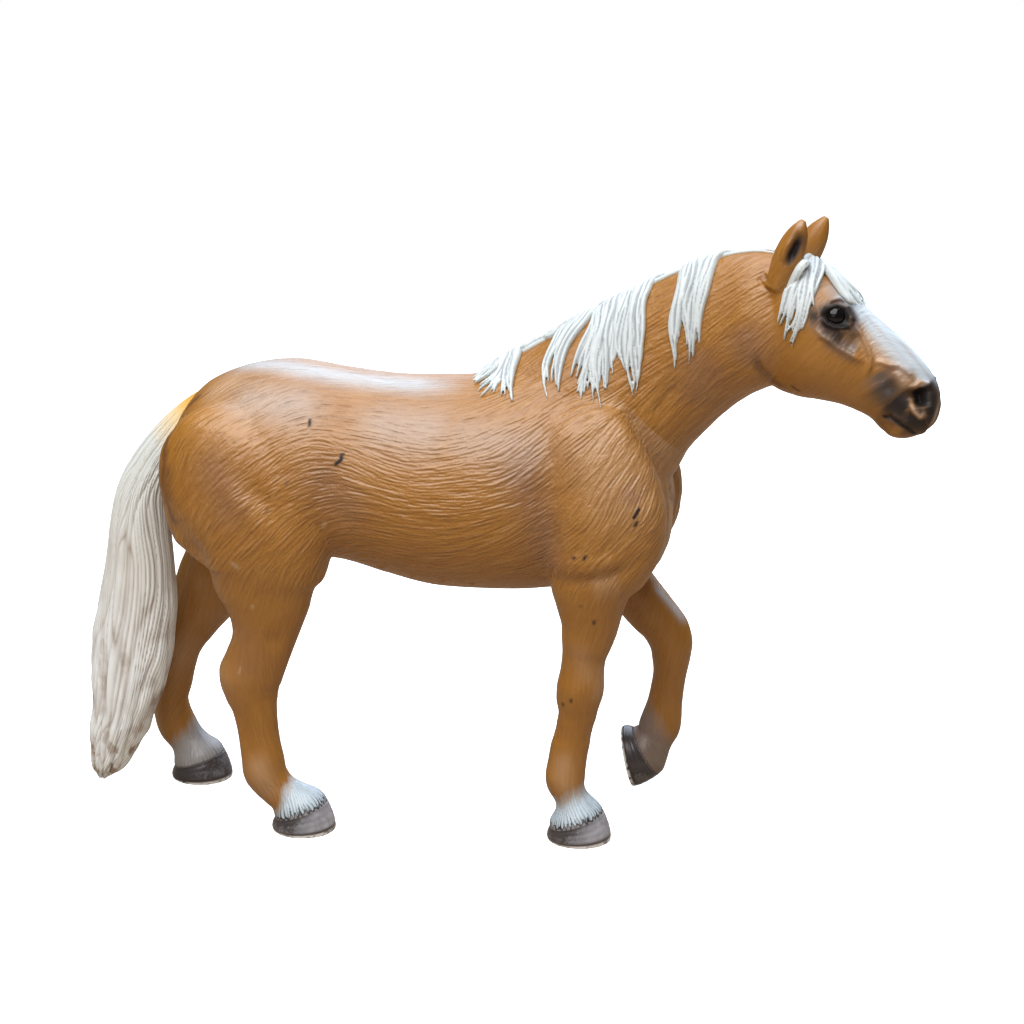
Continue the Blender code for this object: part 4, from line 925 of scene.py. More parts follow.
for (_, _, shares, side, pitch), (top, slant, strength, grey, cut) in zip(LEGS, SOCKS):
    sharp_share = 1.0 if side < 0 else FAR_TEETH_SHARE
    middle, down, toe = map(np.array, coronet(shares, side, pitch))
    rise = (legs.points - middle) @ -down
    offset = legs.points - middle + rise[:, None] * down
    reach = np.hypot(offset @ toe / (HOOF_TOP_SHARE * HOOF_LENGTH / 2),
                     offset[:, 1] / (HOOF_TOP_SHARE * HOOF_WIDTH / 2))
    near = np.linalg.norm(offset, axis=1) < SOCK_REACH
    flare = near * np.exp(-(np.maximum(rise, 0) / FLARE_HEIGHT) ** 2)
    flare *= np.clip(RIM_SHARE / np.maximum(reach, 0.4) - 1, 0, 1.2)
    legs.points += offset * flare[:, None]
    share = near * np.clip((top - rise + slant * (offset @ toe)) / SOCK_FADE
                           + 0.4 * cloud(legs.points * [1, 1, 0.2], 0.5 * MM, 4) - 0.2, 0, 1)
    legs.lay("white_and_sheen", strength * share)
    legs.lay("slate", grey * share)
    circle = np.arctan2(offset[:, 1], offset @ toe) / (2 * math.pi)
    turn = circle * TEETH + cloud(legs.points, 1.2 * MM, 9)
    sharp = 0.3 + 0.9 * cloud(legs.points, 0.9 * MM, 12)
    teeth = (0.1 + sharp_share * (0.2 + sharp ** 2) * np.abs(2 * (turn % 1.0) - 1)) * TOOTH_HEIGHT
    legs.lay("horn", near * np.clip(0.5 - (rise - teeth) / HORN_EDGE, 0.0, 1.0))
    jagged = near * np.clip(1.5 - np.abs(rise - teeth) / JAGGED_EDGE, 0.0, 1.0)
    legs.lay("dark", (0.35 + 0.5 * sharp_share) * jagged)
    phase = circle * GROOVES + 1.6 * cloud(legs.points * [1, 1, 0.5], 1.6 * MM, 6)
    number = np.floor(phase)
    across = np.abs(2 * (phase - number) - 1)
    depth = 0.25 + 0.75 * lattice(np.stack([number, 0 * number, 0 * number], -1).astype(np.int64), 6)
    fringe = near * np.clip((top + 1.5 * MM - rise) / (2.5 * MM), 0, 1)
    fringe *= (0.3 + 0.7 * strength * share) * (rise > teeth) * cut
    groove = depth * np.clip(across * 2.2 - 1.2, 0, 1) * fringe
    legs.points -= legs.outward * (GROOVE_DEPTH * groove)[:, None]
    # Painted shade in the grooves down the pastern
    legs.lay("crease", 1.1 * groove)
    seeping = 1.8 * groove * np.clip(1 - (rise - teeth) / SEEP_HEIGHT, 0, 1)
    legs.lay("dark", np.clip(seeping, 0, 0.9))
print("socks flared")

# %% [markdown]
# ## Mouldings
# The skins are parted where the CAD parts them, with a flat cap over each cut. Each moulding is a
# closed piece that stands for its CAD node, and carries its paint as attributes.

# %% Mouldings
def keep_paint(mesh, **paints):
    """Values of every point, kept as attributes that the materials read."""
    for name, strength in paints.items():
        mesh.attributes.new(name, "FLOAT", "POINT").data.foreach_set("value", strength.ravel())


def moulding(name, skin, keep, cuts):
    """A closed piece: what a mask keeps of a skin, cut off by planes of (point, outward direction)."""
    kept = keep(skin.points)
    numbers = np.cumsum(kept) - 1
    mesh = bpy.data.meshes.new(name + "_coat")
    mesh.from_pydata(skin.points[kept], [], numbers[skin.faces[kept[skin.faces].all(axis=1)]])
    keep_paint(mesh, **{paint: strength[kept] for paint, strength in skin.paint.items()})
    mesh.attributes.new("flow", "FLOAT_VECTOR", "POINT").data.foreach_set("vector", skin.flow[kept].ravel())
    work = bmesh.new()
    work.from_mesh(mesh)
    for point, outward in cuts:
        geometry = work.verts[:] + work.edges[:] + work.faces[:]
        bmesh.ops.bisect_plane(work, geom=geometry, plane_co=point, plane_no=outward, clear_outer=True)
        rim = [edge for edge in work.edges if edge.is_boundary
               and all(abs((v.co - Vector(point)).dot(Vector(outward))) < 1e-6 for v in edge.verts)]
        for edge in rim:
            edge.smooth = False
        bmesh.ops.triangulate(work, faces=bmesh.ops.edgeloop_fill(work, edges=rim)["faces"])
    for face in work.faces:
        face.smooth = True
    work.to_mesh(mesh)
    work.free()
    made = placed(name + "_coat", mesh)
    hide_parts(name)
    return made


GIRTH = GIRTH_SHARE * TRUNK_LENGTH
COATED = []


def leg_cuts(shares, side, pitch):
    """The planes that end a leg, at the trunk and at the coronet of its hoof."""
    return ((0.0, 0.0, LEG_SEAM), (0.0, 0.0, 1.0)), coronet(shares, side, pitch)[:2]


def in_quarter(fore, side):
    """A mask of the quarter of the legs, fore or hind and left or right."""
    return lambda p: ((p[:, 0] > GIRTH) == fore) & (p[:, 1] * side > 0)


COATED.append(moulding("torso", body, lambda p: p[:, 2] > 0,
                       (((0.0, 0.0, LEG_SEAM), (0.0, 0.0, -1.0)), (SEAM_POINT, SEAM_AXIS))))
COATED.append(moulding("head_and_neck", head, lambda p: p[:, 2] > 0, ((SEAM_POINT, -SEAM_AXIS),)))
for name, _, shares, side, pitch in LEGS:
    quarter = in_quarter(name.endswith("foreleg"), side)
    COATED.append(moulding(name, legs, quarter, leg_cuts(shares, side, pitch)))
for piece in COATED:
    piece.data.calc_loop_triangles()
    print(piece.name, len(piece.data.loop_triangles), "triangles")

# %% [markdown]
# ## Hair
# The mane, forelock and tail are mouldings of their own in the CAD. Each is made of strands: a few
# guides are drawn on the picture from root to tip, more are blended between neighbours, and all are
# laid on the skin as thin flat tubes and grown together, so that the grooves between them are real.

# %% Hair
HAIR_VOXEL = 0.155 * MM
HAIR_SMOOTHING = 2
HOLLOW_SMOOTHING = 2
HOLLOW_DEPTH = 0.007 * MM
STRAND_ROWS = 26
STRAND_SIDES = 10
GUIDE_ROWS = 12
CREST_ROWS = 70
STRAND_WIDTH = 0.66 * MM
STRAND_THICKNESS = 1.3 * MM
ROOT_SWEEP = (12, -5)
CLUMPS = (
    ((534, 334, 506, 347, 490, 363, 473, 380), (530, 336, 508, 355, 496, 372, 475, 385),
     (528, 339, 512, 357, 500, 377, 481, 398), (526, 341, 513, 361, 506, 381, 504, 399),
     (525, 343, 517, 363, 513, 383, 514, 402)),
    ((582, 316, 562, 325, 546, 337, 526, 341), (582, 319, 564, 329, 548, 339, 528, 343)),
    ((598, 305, 580, 317, 564, 329, 552, 349, 544, 365, 543, 385, 547, 401),
     (600, 307, 580, 321, 568, 333, 558, 349, 550, 365, 549, 385),
     (598, 309, 584, 325, 572, 341, 566, 355, 562, 373, 559, 395)),
    ((598, 313, 592, 329, 580, 353, 570, 379), (602, 311, 594, 337, 586, 363, 576, 385),
     (606, 307, 598, 337, 588, 369, 579, 403), (610, 303, 602, 333, 594, 365, 600, 412),
     (616, 299, 606, 329, 598, 365, 600, 391), (620, 295, 610, 329, 606, 365, 608, 391),
     (628, 291, 616, 321, 614, 353, 612, 379), (636, 287, 624, 313, 618, 345, 622, 361),
     (642, 285, 632, 311, 628, 345, 627, 369, 633, 397),
     (650, 283, 640, 309, 638, 345, 638, 377, 634, 395),
     (656, 281, 646, 305, 643, 337, 642, 365, 637, 383)),
    ((685, 270, 680, 285, 675, 301, 672, 321, 673, 345, 674, 370),
     (690, 267, 684, 289, 679, 309, 678, 333, 677, 353), (696, 265, 688, 291, 685, 313, 685, 333),
     (704, 261, 695, 289, 691, 313, 690, 337, 688, 365),
     (714, 257, 704, 281, 698, 305, 697, 329, 694, 359),
     (724, 253, 714, 271, 706, 295, 701, 315, 701, 345)),
)


def along_line(points, count):
    """A line through points again, as a cubic with a given number of rows."""
    fine = curve_rows(np.array(points) / HUNDREDTH, 12)
    travel = np.concatenate([[0.0], np.cumsum(np.linalg.norm(np.diff(fine, axis=0), axis=1))])
    places = np.linspace(0, travel[-1], count)
    return np.column_stack([np.interp(places, travel, part) for part in fine.T])


def strand(line, width, thickness, lift):
    """A flat tube laid along a line of the skin, blunt at its root and pointed at its tip."""
    hits = [min((skin.tree.find_nearest(place) for skin in SKINS), key=lambda hit: hit[3]) for place in line]
    points, outward = (np.array([hit[k] for hit in hits]) for k in range(2))
    along = np.linspace(0.0, 1.0, len(points))[:, None]
    full = np.sqrt(np.clip(1 - along ** 3, 0.0, 1.0)) * (0.75 + 0.25 * np.sin(math.pi * along)) + 0.04
    full *= np.sqrt(np.clip(along / 0.08 + 0.15, 0.0, 1.0))
    across = unit(np.cross(np.gradient(points, axis=0), outward)) * width / 2 * full
    raised = points + outward * lift * (0.4 + 0.6 * full)
    return loft(raised, outward * thickness / 2 * (0.35 + 0.65 * full), across, STRAND_SIDES)


def clump_strands(guides, between, sway, seed, sweep=None, high=0.0):
    """Strands along guide lines of the picture and between neighbours, a little uneven."""
    chance = np.random.default_rng(seed)
    guides = [np.reshape(guide, (-1, 2)) for guide in guides]
    if sweep:
        guides = [np.vstack([guide[:1] + sweep, guide]) for guide in guides]
    lines = [along_line(seen(along_line(guide, GUIDE_ROWS)), STRAND_ROWS) for guide in guides]
    strands = []
    for first, second in zip(lines, lines[1:] + [None]):
        shares = [0.0] if second is None else np.arange(between) / between
        for share in shares:
            line = first if share == 0.0 else first * (1 - share) + second * share
            kept_share = chance.uniform(0.8, 1.0) if share else 1.0
            line = along_line(line[:round(STRAND_ROWS * kept_share)], STRAND_ROWS)
            turns = np.linspace(0, chance.uniform(1.5, 4.0) * math.pi, STRAND_ROWS)
            bend = (np.sin(turns + chance.uniform(0, 6)) - np.sin(turns[0]))[:, None]
            line = line + bend * sway * np.array([1.0, 0.0, 0.2])
            size = chance.uniform(0.65, 1.25)
            lift = high + chance.uniform(0.0, 0.5) * MM
            strands.append(strand(line, STRAND_WIDTH * size, STRAND_THICKNESS * (0.4 + 0.6 * size), lift))
    return strands


def hollows(mesh):
    """How hollow a mesh is at each point: how far the middle of its neighbours lies outward of it."""
    points, outward = read(mesh.vertices, "co"), read(mesh.vertex_normals, "vector")
    one, other = read(mesh.edges, "vertices", 2, np.int32).T

    def gathered(at_one, at_other):
        return np.bincount(one, at_one, len(points)) + np.bincount(other, at_other, len(points))

    counts = gathered(None, None)
    run = points[other] - points[one]
    hollow = gathered(np.einsum("ij,ij->i", run, outward[one]), -np.einsum("ij,ij->i", run, outward[other]))
    hollow = hollow / counts
    for _ in range(HOLLOW_SMOOTHING):
        hollow = (hollow + gathered(hollow[other], hollow[one]) / counts) / 2
    return np.clip(hollow / HOLLOW_DEPTH, 0.0, 1.0)


def hair(name, strands):
    """Strands grown together into one piece that stands for its CAD node."""
    mesh = grown(name, strands, HAIR_VOXEL, HAIR_SMOOTHING)
    mesh.shade_smooth()
    # Painted shade in the hollows between strands
    keep_paint(mesh, crease=hollows(mesh))
    made = placed(name + "_strands", mesh)
    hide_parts(name)
    print(made.name, len(mesh.polygons) * 2, "triangles from", len(strands), "strands")
    return made


MANE_BETWEEN, MANE_SWAY, MANE_LIFT = 5, 0.22 * MM, 0.12 * MM
CREST_WIDTH, CREST_THICKNESS, CREST_LIFT = 0.8 * MM, 0.95 * MM, 0.1 * MM
CREST_ASIDES = (-0.8, -0.2, 0.4, 1.0, 1.5)
centres, depths, _ = neck_sections()
crest = along_line((centres + depths)[2:-2], CREST_ROWS)
strands = []
for number, guides in enumerate(CLUMPS):
    strands += clump_strands(guides, MANE_BETWEEN, MANE_SWAY, number, ROOT_SWEEP, MANE_LIFT)
for number, aside in enumerate(CREST_ASIDES):
    bend = 0.4 * MM * np.sin(np.linspace(0, 11 + number, CREST_ROWS) + 2 * number)
    line = crest + np.multiply.outer(aside * MM + bend, Y_AXIS)
    strands.append(strand(line, CREST_WIDTH, CREST_THICKNESS, CREST_LIFT))
mane = hair("mane", strands)

TEMPLE = (
    (809, 257, 799, 264, 791, 279, 784, 302, 777, 325),
    (809, 257, 800, 266, 793, 284, 786, 306, 779, 318),
    (810, 257, 803, 268, 796, 289, 790, 312, 784, 342),
    (810, 257, 806, 270, 801, 294, 796, 318, 788, 332),
    (811, 257, 808, 272, 806, 298, 800, 326, 792, 349),
    (812, 257, 811, 273, 810, 298, 808, 312, 802, 330), (813, 257, 814, 271, 813, 292, 813, 309),
    (814, 257, 818, 266, 820, 275, 817, 288, 812, 300),
)
BROW = (
    (809, 256, 819, 262, 829, 270, 838, 278, 844, 284),
    (809, 257, 823, 266, 836, 278, 848, 289, 858, 298, 866, 306),
    (810, 258, 824, 269, 837, 282, 849, 294, 862, 307),
    (811, 259, 824, 272, 836, 286, 846, 298, 856, 308),
    (813, 260, 824, 274, 834, 287, 842, 297, 850, 305),
)
FORELOCK_BETWEEN, FORELOCK_SWAY = 3, 0.15 * MM
strands = clump_strands(TEMPLE, FORELOCK_BETWEEN, FORELOCK_SWAY, 21, high=0.3 * MM)
strands += clump_strands(BROW, FORELOCK_BETWEEN, FORELOCK_SWAY, 22, high=0.45 * MM)
forelock = hair("forelock", strands)

# %% [markdown]
# ## Tail
# The tail is one thick bunch, so it is one surface: the CAD's tube, sunk where strands meet. The
# turn round the tube is counted in strands, wandering as it goes down; locks and fine strands are
# two such counts. Strands end one by one near the tip, which leaves it ragged.

# %% Tail
TAIL_ROWS = 27
TAIL_SIDES = 280
LOCKS, STRANDS = 13, 58
LOCK_WANDER, STRAND_WANDER = 3.2, 9.0
LOCK_DEPTH = 0.4 * MM
STRAND_DEPTH = 0.3 * MM
TIP_DEPTH = 2.2 * MM
LUMP_HEIGHT = 0.45 * MM
LUMP_SIZE = 2.0 * MM


def counted(turn, along, count, wander, seed):
    """Strands round a tube: 1 - (2f - 1)^2 over each, where f is the way across it, and its number."""
    around = np.stack([np.cos(turn) * 1.3, np.sin(turn) * 1.3, along * 3.0], -1).reshape(-1, 3)
    drift = cloud(around + 9, 0.8, seed).reshape(turn.shape) - 0.5
    phase = count * turn / (2 * math.pi) + wander * drift
    number = np.floor(phase).astype(np.int64)
    across = phase - number
    return 1 - (2 * across - 1) ** 2, number % count


def tail_surface():
    """The tail's points and its paint: the painted shade in the creases between strands, the way down it, and
    the soil.
    """
    x, height, width, thickness = curve_rows(TAIL_SHARES, TAIL_ROWS).T
    centres = np.column_stack([x * TRUNK_LENGTH, 0.0 * x, height * WITHERS_HEIGHT])
    tube = limb(centres, width * TAIL_WIDTH, thickness * TAIL_THICKNESS, Y_AXIS, TAIL_SIDES)
    turns = np.arange(TAIL_SIDES) * 2 * math.pi / TAIL_SIDES
    along, turn = np.meshgrid(np.linspace(0, 1, len(x)), turns, indexing="ij")
    lock, _ = counted(turn, along, LOCKS, LOCK_WANDER, 3)
    fine, fine_number = counted(turn, along, STRANDS, STRAND_WANDER, 5)
    chance = np.random.default_rng(8)
    deep = 0.2 + 0.8 * chance.random(STRANDS)[fine_number]
    starts = np.clip((along - 0.06) / 0.1, 0.0, 1.0)
    ends = 0.86 + 0.16 * chance.random(STRANDS)[fine_number]
    gone = np.clip((along - ends) / 0.03, 0.0, 1.0)
    sunk = starts * (LOCK_DEPTH * (1 - lock) ** 1.5 + STRAND_DEPTH * deep * (1 - fine) ** 0.8)
    sunk += TIP_DEPTH * gone * along
    lumps = cloud(tube.reshape(-1, 3) * [1, 1, 0.45], LUMP_SIZE, 31).reshape(turn.shape) - 0.5
    sunk -= 2 * LUMP_HEIGHT * lumps * np.clip((along - 0.35) * 3, 0, 1)
    radius = np.linalg.norm(tube - centres[:, None], axis=2)
    share = np.minimum(sunk, 0.8 * radius) / np.maximum(radius, 0.1 * MM)
    points = tube - (tube - centres[:, None]) * share[..., None]
    # Painted shade in the creases between strands and between locks
    crease = starts * np.clip((1 - fine) ** 3 * deep * 1.4 + 0.5 * (1 - lock) ** 3, 0, 1)
    soil = np.clip(-lumps * 6 - 0.45, 0, 1) * np.clip((along - 0.45) * 4, 0, 1)
    return points, {"crease": crease, "along": along, "soil": soil}


tail_points, tail_paints = tail_surface()
tail = mesh_object("tail_strands", tail_points, tube_faces(*tail_points.shape[:2]))
tail.data.shade_smooth()
keep_paint(tail.data, **tail_paints)
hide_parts("tail")
print(tail.name, len(tail.data.polygons) * 2, "triangles")

# %% [markdown]
# ## Hooves and eyes
# A hoof is a wall of rings with faint growth ridges and a worn rim over a flat sole. An eye is a
# glossy ball seated between the lids.

# %% Hooves and eyes
EYE_BALL_SHARE = 0.86
EYE_SIDES, EYE_ROWS = 48, 33
OUTSIDE = 40
HOOF_SIDES, WALL_ROWS, CAP_ROWS = 160, 40, 10
WELD = 1e-7
RIDGE_SHARE, RIDGE_TURNS = 0.004, 26
CHIP_SHARE, CHIP_SIZE, CHIP_HEIGHT = 0.03, 0.7 * MM, 0.5 * MM
BAND_PLACE, BAND_WIDTH = 0.19, 0.07
# Painted shade that darkens the far hooves all over
FAR_HOOF_SHADE = 0.9


def closed(made, name, place=Matrix()):
    """The piece for a CAD node from its rings: their ends welded, put in place and shaded smoothly."""
    work = bmesh.new()
    work.from_mesh(made.data)
    bmesh.ops.remove_doubles(work, verts=work.verts, dist=WELD)
    bmesh.ops.transform(work, matrix=place, verts=work.verts)
    bmesh.ops.recalc_face_normals(work, faces=work.faces)
    work.to_mesh(made.data)
    work.free()
    made.data.shade_smooth()
    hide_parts(name)
    return made


def hoof_piece(name, shares, side, pitch, seed):
    """A hoof: rings of points from the sole's middle out, up the wall and in over the coronet."""
    angles = np.linspace(0, 2 * math.pi, HOOF_SIDES, endpoint=False)
    heights = HEEL_HEIGHT + (HOOF_HEIGHT - HEEL_HEIGHT) * (1 + np.cos(angles)) / 2
    up = np.linspace(0.0, 1.0, WALL_ROWS)
    rise = np.concatenate([np.zeros(CAP_ROWS), up, np.ones(CAP_ROWS)])
    reach = np.concatenate([np.linspace(0.0, 0.97, CAP_ROWS), 1.0 - (1 - HOOF_TOP_SHARE) * up ** 1.5
                            + 0.02 * np.sin(math.pi * up) - 0.02 * (1 - up) ** 12,
                            np.linspace(HOOF_TOP_SHARE * 0.98, 0.0, CAP_ROWS)])
    ridges = RIDGE_SHARE * np.sin(rise * RIDGE_TURNS) * np.clip(rise * (1 - rise) * 8, 0, 1)
    lean = -CORONET_LEAN_SHARE * HOOF_LENGTH * rise[:, None]
    wall = reach + ridges
    points = np.stack([lean + np.cos(angles) * wall[:, None] * HOOF_LENGTH / 2,
                       np.sin(angles) * wall[:, None] * HOOF_WIDTH / 2,
                       heights * rise[:, None]], -1)
    chips = cloud(points.reshape(-1, 3) + seed * MM, CHIP_SIZE, seed).reshape(points.shape[:2])
    edge = np.exp(-(rise * HOOF_HEIGHT / CHIP_HEIGHT) ** 2) * np.clip(reach * 4 - 3, 0, 1)
    points *= 1 - (CHIP_SHARE * edge[:, None] * np.clip(chips * 2 - 0.9, 0, 1))[..., None] * [1, 1, 0]
    made = mesh_object(name + "_horn", points, tube_faces(*points.shape[:2], ends=False))
    worn = np.clip(1.8 - rise * 11, 0, 1) * np.clip(reach * 8 - 6, 0, 1)
    heel = np.clip(0.7 - 1.1 * np.cos(angles), 0, 1) * np.clip(rise * 3, 0, 1)[:, None]
    bulbs = np.clip(0.7 - 0.6 * np.cos(angles), 0, 1) * np.exp(-((1 - rise) / 0.3) ** 2)[:, None]
    band = np.exp(-((rise - BAND_PLACE) / BAND_WIDTH) ** 2)
    top = np.clip(rise * 10 - 9, 0, 1)
    rim, top, band = (np.repeat(ring, HOOF_SIDES) for ring in (worn, top, band))
    # On the far hooves the heel paint carries painted shade all over
    keep_paint(made.data, rim=rim, top=top, heel=heel + bulbs + FAR_HOOF_SHADE * (side > 0), band=band)
    return closed(made, name, hoof_frame(shares, side, pitch))


HOOVES = [hoof_piece(name, shares, side, pitch, number)
          for number, (_, name, shares, side, pitch) in enumerate(LEGS)]


def eye_piece(name, side):
    """An eyeball of the CAD's size and place."""
    aside = side * HEAD_LEFT
    start = Vector(head_spot(EYE_SHARES) + aside * OUTSIDE * MM)
    point, outward, _, _ = head.tree.ray_cast(start, Vector(-aside))
    radius = EYE_BALL_SHARE * EYE_DIAMETER / 2
    centre = np.array(point - outward * (radius - EYE_PROUD))
    turn, tilt = np.meshgrid(np.linspace(0, 2 * math.pi, EYE_SIDES, endpoint=False),
                             np.linspace(-math.pi / 2, math.pi / 2, EYE_ROWS))
    ball = np.stack([np.cos(tilt) * np.cos(turn), np.cos(tilt) * np.sin(turn), np.sin(tilt)], -1) * radius
    made = mesh_object(name + "_ball", centre + ball, tube_faces(*ball.shape[:2], ends=False))
    return closed(made, name)


EYES = [eye_piece(name, side) for name, side in (("right_eye", -1), ("left_eye", 1))]
print(len(HOOVES), "hooves and", len(EYES), "eyes")

# %% [markdown]
# ## Shader arithmetic
# A small class lets the materials be written as sums and products.

# %% Shader arithmetic
class Field:
    """An output of a shader node that adds, multiplies and compares as a number does."""

    def __init__(self, tree, socket):
        self.tree, self.socket = tree, socket

    def math(self, kind, *others):
        made = self.tree.nodes.new("ShaderNodeMath")
        made.operation = kind
        for place, value in zip(made.inputs, (self, *others)):
            plug(self.tree, value, place)
        return Field(self.tree, made.outputs[0])

    def __add__(self, other): return self.math("ADD", other)
    def __radd__(self, other): return self.math("ADD", other)
    def __mul__(self, other): return self.math("MULTIPLY", other)
    def __rmul__(self, other): return self.math("MULTIPLY", other)
    def __sub__(self, other): return self.math("SUBTRACT", other)
    def __rsub__(self, other): return (self * -1.0) + other
    def clip(self): return self.math("ADD", 0.0).math("MINIMUM", 1.0).math("MAXIMUM", 0.0)


def plug(tree, value, place):
    """A field is linked to a socket, a plain value is set on it."""
    if isinstance(value, Field):
        tree.links.new(value.socket, place)
    elif isinstance(value, tuple) and len(value) == 3 and place.type == "RGBA":
        place.default_value = (*value, 1.0)
    else:
        place.default_value = value


def node(tree, kind, output=0, settings=(), **inputs):
    """Any other node: its settings first, then its inputs by name."""
    made = tree.nodes.new(kind)
    for name, value in dict(settings).items():
        setattr(made, name, value)
    for name, value in inputs.items():
        plug(tree, value, made.inputs[name])
    return Field(tree, made.outputs[output])


def joined(tree, kind, *values):
    """A node whose inputs are filled in order, such as a blend or a sum of shaders."""
    made = tree.nodes.new(kind)
    for place, value in zip(made.inputs, values):
        plug(tree, value, place)
    return Field(tree, made.outputs[0])


def mixed(tree, share, one, other):
    """A colour between two, by a share."""
    made = tree.nodes.new("ShaderNodeMix")
    made.data_type = "RGBA"
    for place, value in ((made.inputs[0], share), (made.inputs[6], one), (made.inputs[7], other)):
        plug(tree, value, place)
    return Field(tree, made.outputs[2])


def layered(tree, colour, *layers):
    """A colour under layers of (share or name of paint, colour), each over those before it."""
    for share, over in layers:
        colour = mixed(tree, painted(tree, share) if isinstance(share, str) else share, colour, over)
    return colour


def painted(tree, name):
    """Paint that a piece carries as an attribute."""
    return node(tree, "ShaderNodeAttribute", 2, {"attribute_name": name})


def clouds(tree, scale, detail=3.0, stretch=(1.0, 1.0, 1.0)):
    """Noise in object coordinates, scale in clouds per metre, drawn out along axes."""
    place = node(tree, "ShaderNodeTexCoord", 3)
    placed = node(tree, "ShaderNodeMapping", Vector=place, Scale=stretch)
    return node(tree, "ShaderNodeTexNoise", 0, Vector=placed, Scale=scale, Detail=detail)


def new_material(name, roughness):
    """A material with its Principled shader and node tree."""
    made = bpy.data.materials.new(name)
    made.use_nodes = True
    shader = made.node_tree.nodes["Principled BSDF"]
    shader.inputs["Roughness"].default_value = roughness
    return made, made.node_tree, shader


def dress(pieces, material):
    """Give pieces a material and their slot, and let them ride on the body."""
    for piece in pieces:
        piece.data.materials.clear()
        piece.data.materials.append(material)
        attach(piece, "root")


# %% [markdown]
# ## Coat
# Satin PVC, painted. Fine hair strokes are noise drawn out along the lie of the hair: the mean of
# the same noise at steps along the flow that the piece carries. They bump the surface, with a little
# painted shade in their hollows and a little painted highlight on their ridges. The darkest paint is
# matt: where it lies thick, a second shader with less gloss takes over.

# %% Coat
def drawn_strokes(tree, scale, reach, steps):
    """The mean of noise at places shifted along the flow attribute from -reach to reach, about 0."""
    place = node(tree, "ShaderNodeTexCoord", 3)
    flow = node(tree, "ShaderNodeAttribute", 1, {"attribute_name": "flow"})
    total = 0.0
    for step in np.linspace(-reach, reach, steps):
        shift = node(tree, "ShaderNodeVectorMath", 0, {"operation": "SCALE"}, Vector=flow, Scale=float(step))
        moved = joined(tree, "ShaderNodeVectorMath", place, shift)
        total = node(tree, "ShaderNodeTexNoise", 0, Vector=moved, Scale=scale, Detail=0.5) + total
    return (total * (1.0 / steps) - 0.5) * (2.0 * steps ** 0.5)


HAIRS_PER_METRE, HAIR_REACH, HAIR_STEPS = 2300.0, 1.5 * MM, 12
HAIR_BUMP = 0.00012
SATIN = 0.42
MATT_DARK = (0.012, 0.009, 0.009)
coat, tree, shader = new_material("painted_coat", SATIN)
relief_share = painted(tree, "relief")
strokes = drawn_strokes(tree, HAIRS_PER_METRE, HAIR_REACH, HAIR_STEPS)
dark_share = painted(tree, "dark").clip()
base = mixed(tree, clouds(tree, 90.0, 3.0), (0.275, 0.108, 0.009), (0.335, 0.145, 0.016))
# Paint layers: ochre, pale paint and painted highlights, mauve painted shade, white and painted sheen, the
# strokes' painted shade and highlight, slate, horn, painted shade in creases, dark paint and tan
colour = layered(
    tree, base, ("ochre", (0.40, 0.18, 0.03)), ("pale_and_highlight", (0.50, 0.34, 0.22)), ("mauve_shade", (0.19, 0.095, 0.06)),
    ("white_and_sheen", (0.49, 0.60, 0.69)),
    # Painted shade in the hollows of the strokes, and a painted highlight on their ridges
    (((strokes * -0.9).clip() * relief_share * 0.42).clip(), (0.12, 0.045, 0.014)),
    (((strokes * 0.9).clip() * relief_share * 0.35).clip(), (0.50, 0.30, 0.15)),
    ("slate", (0.10, 0.09, 0.092)), ("horn", (0.28, 0.265, 0.29)), ("crease", (0.085, 0.032, 0.009)),
    (dark_share, MATT_DARK), ("tan", (0.36, 0.21, 0.11)))
plug(tree, colour, shader.inputs["Base Color"])
bump = node(tree, "ShaderNodeBump", 0, Strength=1.0, Distance=HAIR_BUMP, Height=strokes * relief_share)
plug(tree, bump, shader.inputs["Normal"])
plug(tree, dark_share * 0.2 + SATIN, shader.inputs["Roughness"])
shader.inputs["Specular IOR Level"].default_value = 0.68
matt = node(tree, "ShaderNodeBsdfPrincipled", 0, Roughness=0.55,
            **{"Base Color": MATT_DARK, "Specular IOR Level": 0.22})
blend = joined(tree, "ShaderNodeMixShader", dark_share * 0.9 * (1.0 - painted(tree, "tan")),
               Field(tree, shader.outputs[0]), matt)
plug(tree, blend, tree.nodes["Material Output"].inputs["Surface"])
dress(COATED, coat)

# %% [markdown]
# ## Hair material
# White paint with painted shade in the grooves between strands: grey on the mane and forelock, brown
# on the tail. The tail has tones of its own: yellow at its root and soiled towards its tip, as in the
# picture.

# %% Hair material
hair_material, tree, shader = new_material("painted_hair", 0.5)
tone = clouds(tree, 350.0, 4.0)
colour = mixed(tree, tone, (0.49, 0.545, 0.56), (0.64, 0.70, 0.715))
# Painted shade in the grooves between strands
colour = mixed(tree, (painted(tree, "crease") * 0.68).clip(), colour, (0.19, 0.20, 0.23))
plug(tree, colour, shader.inputs["Base Color"])
dress([mane, forelock], hair_material)
tail_material, tree, shader = new_material("painted_tail", 0.5)
tone = clouds(tree, 350.0, 4.0)
colour = mixed(tree, tone, (0.76, 0.80, 0.82), (0.92, 0.97, 0.99))
along = painted(tree, "along")
middle = (1.0 - ((along - 0.45) * 5.0).math("ABSOLUTE")).clip()
dirt = ((clouds(tree, 420.0, 3.0, (1.0, 1.0, 0.4)) - 0.54) * 12.0).clip() * ((along - 0.66) * 4.0).clip()
soil = (dirt * 0.95 + painted(tree, "soil") * (tone - 0.3) * 2.2).clip() * 0.85
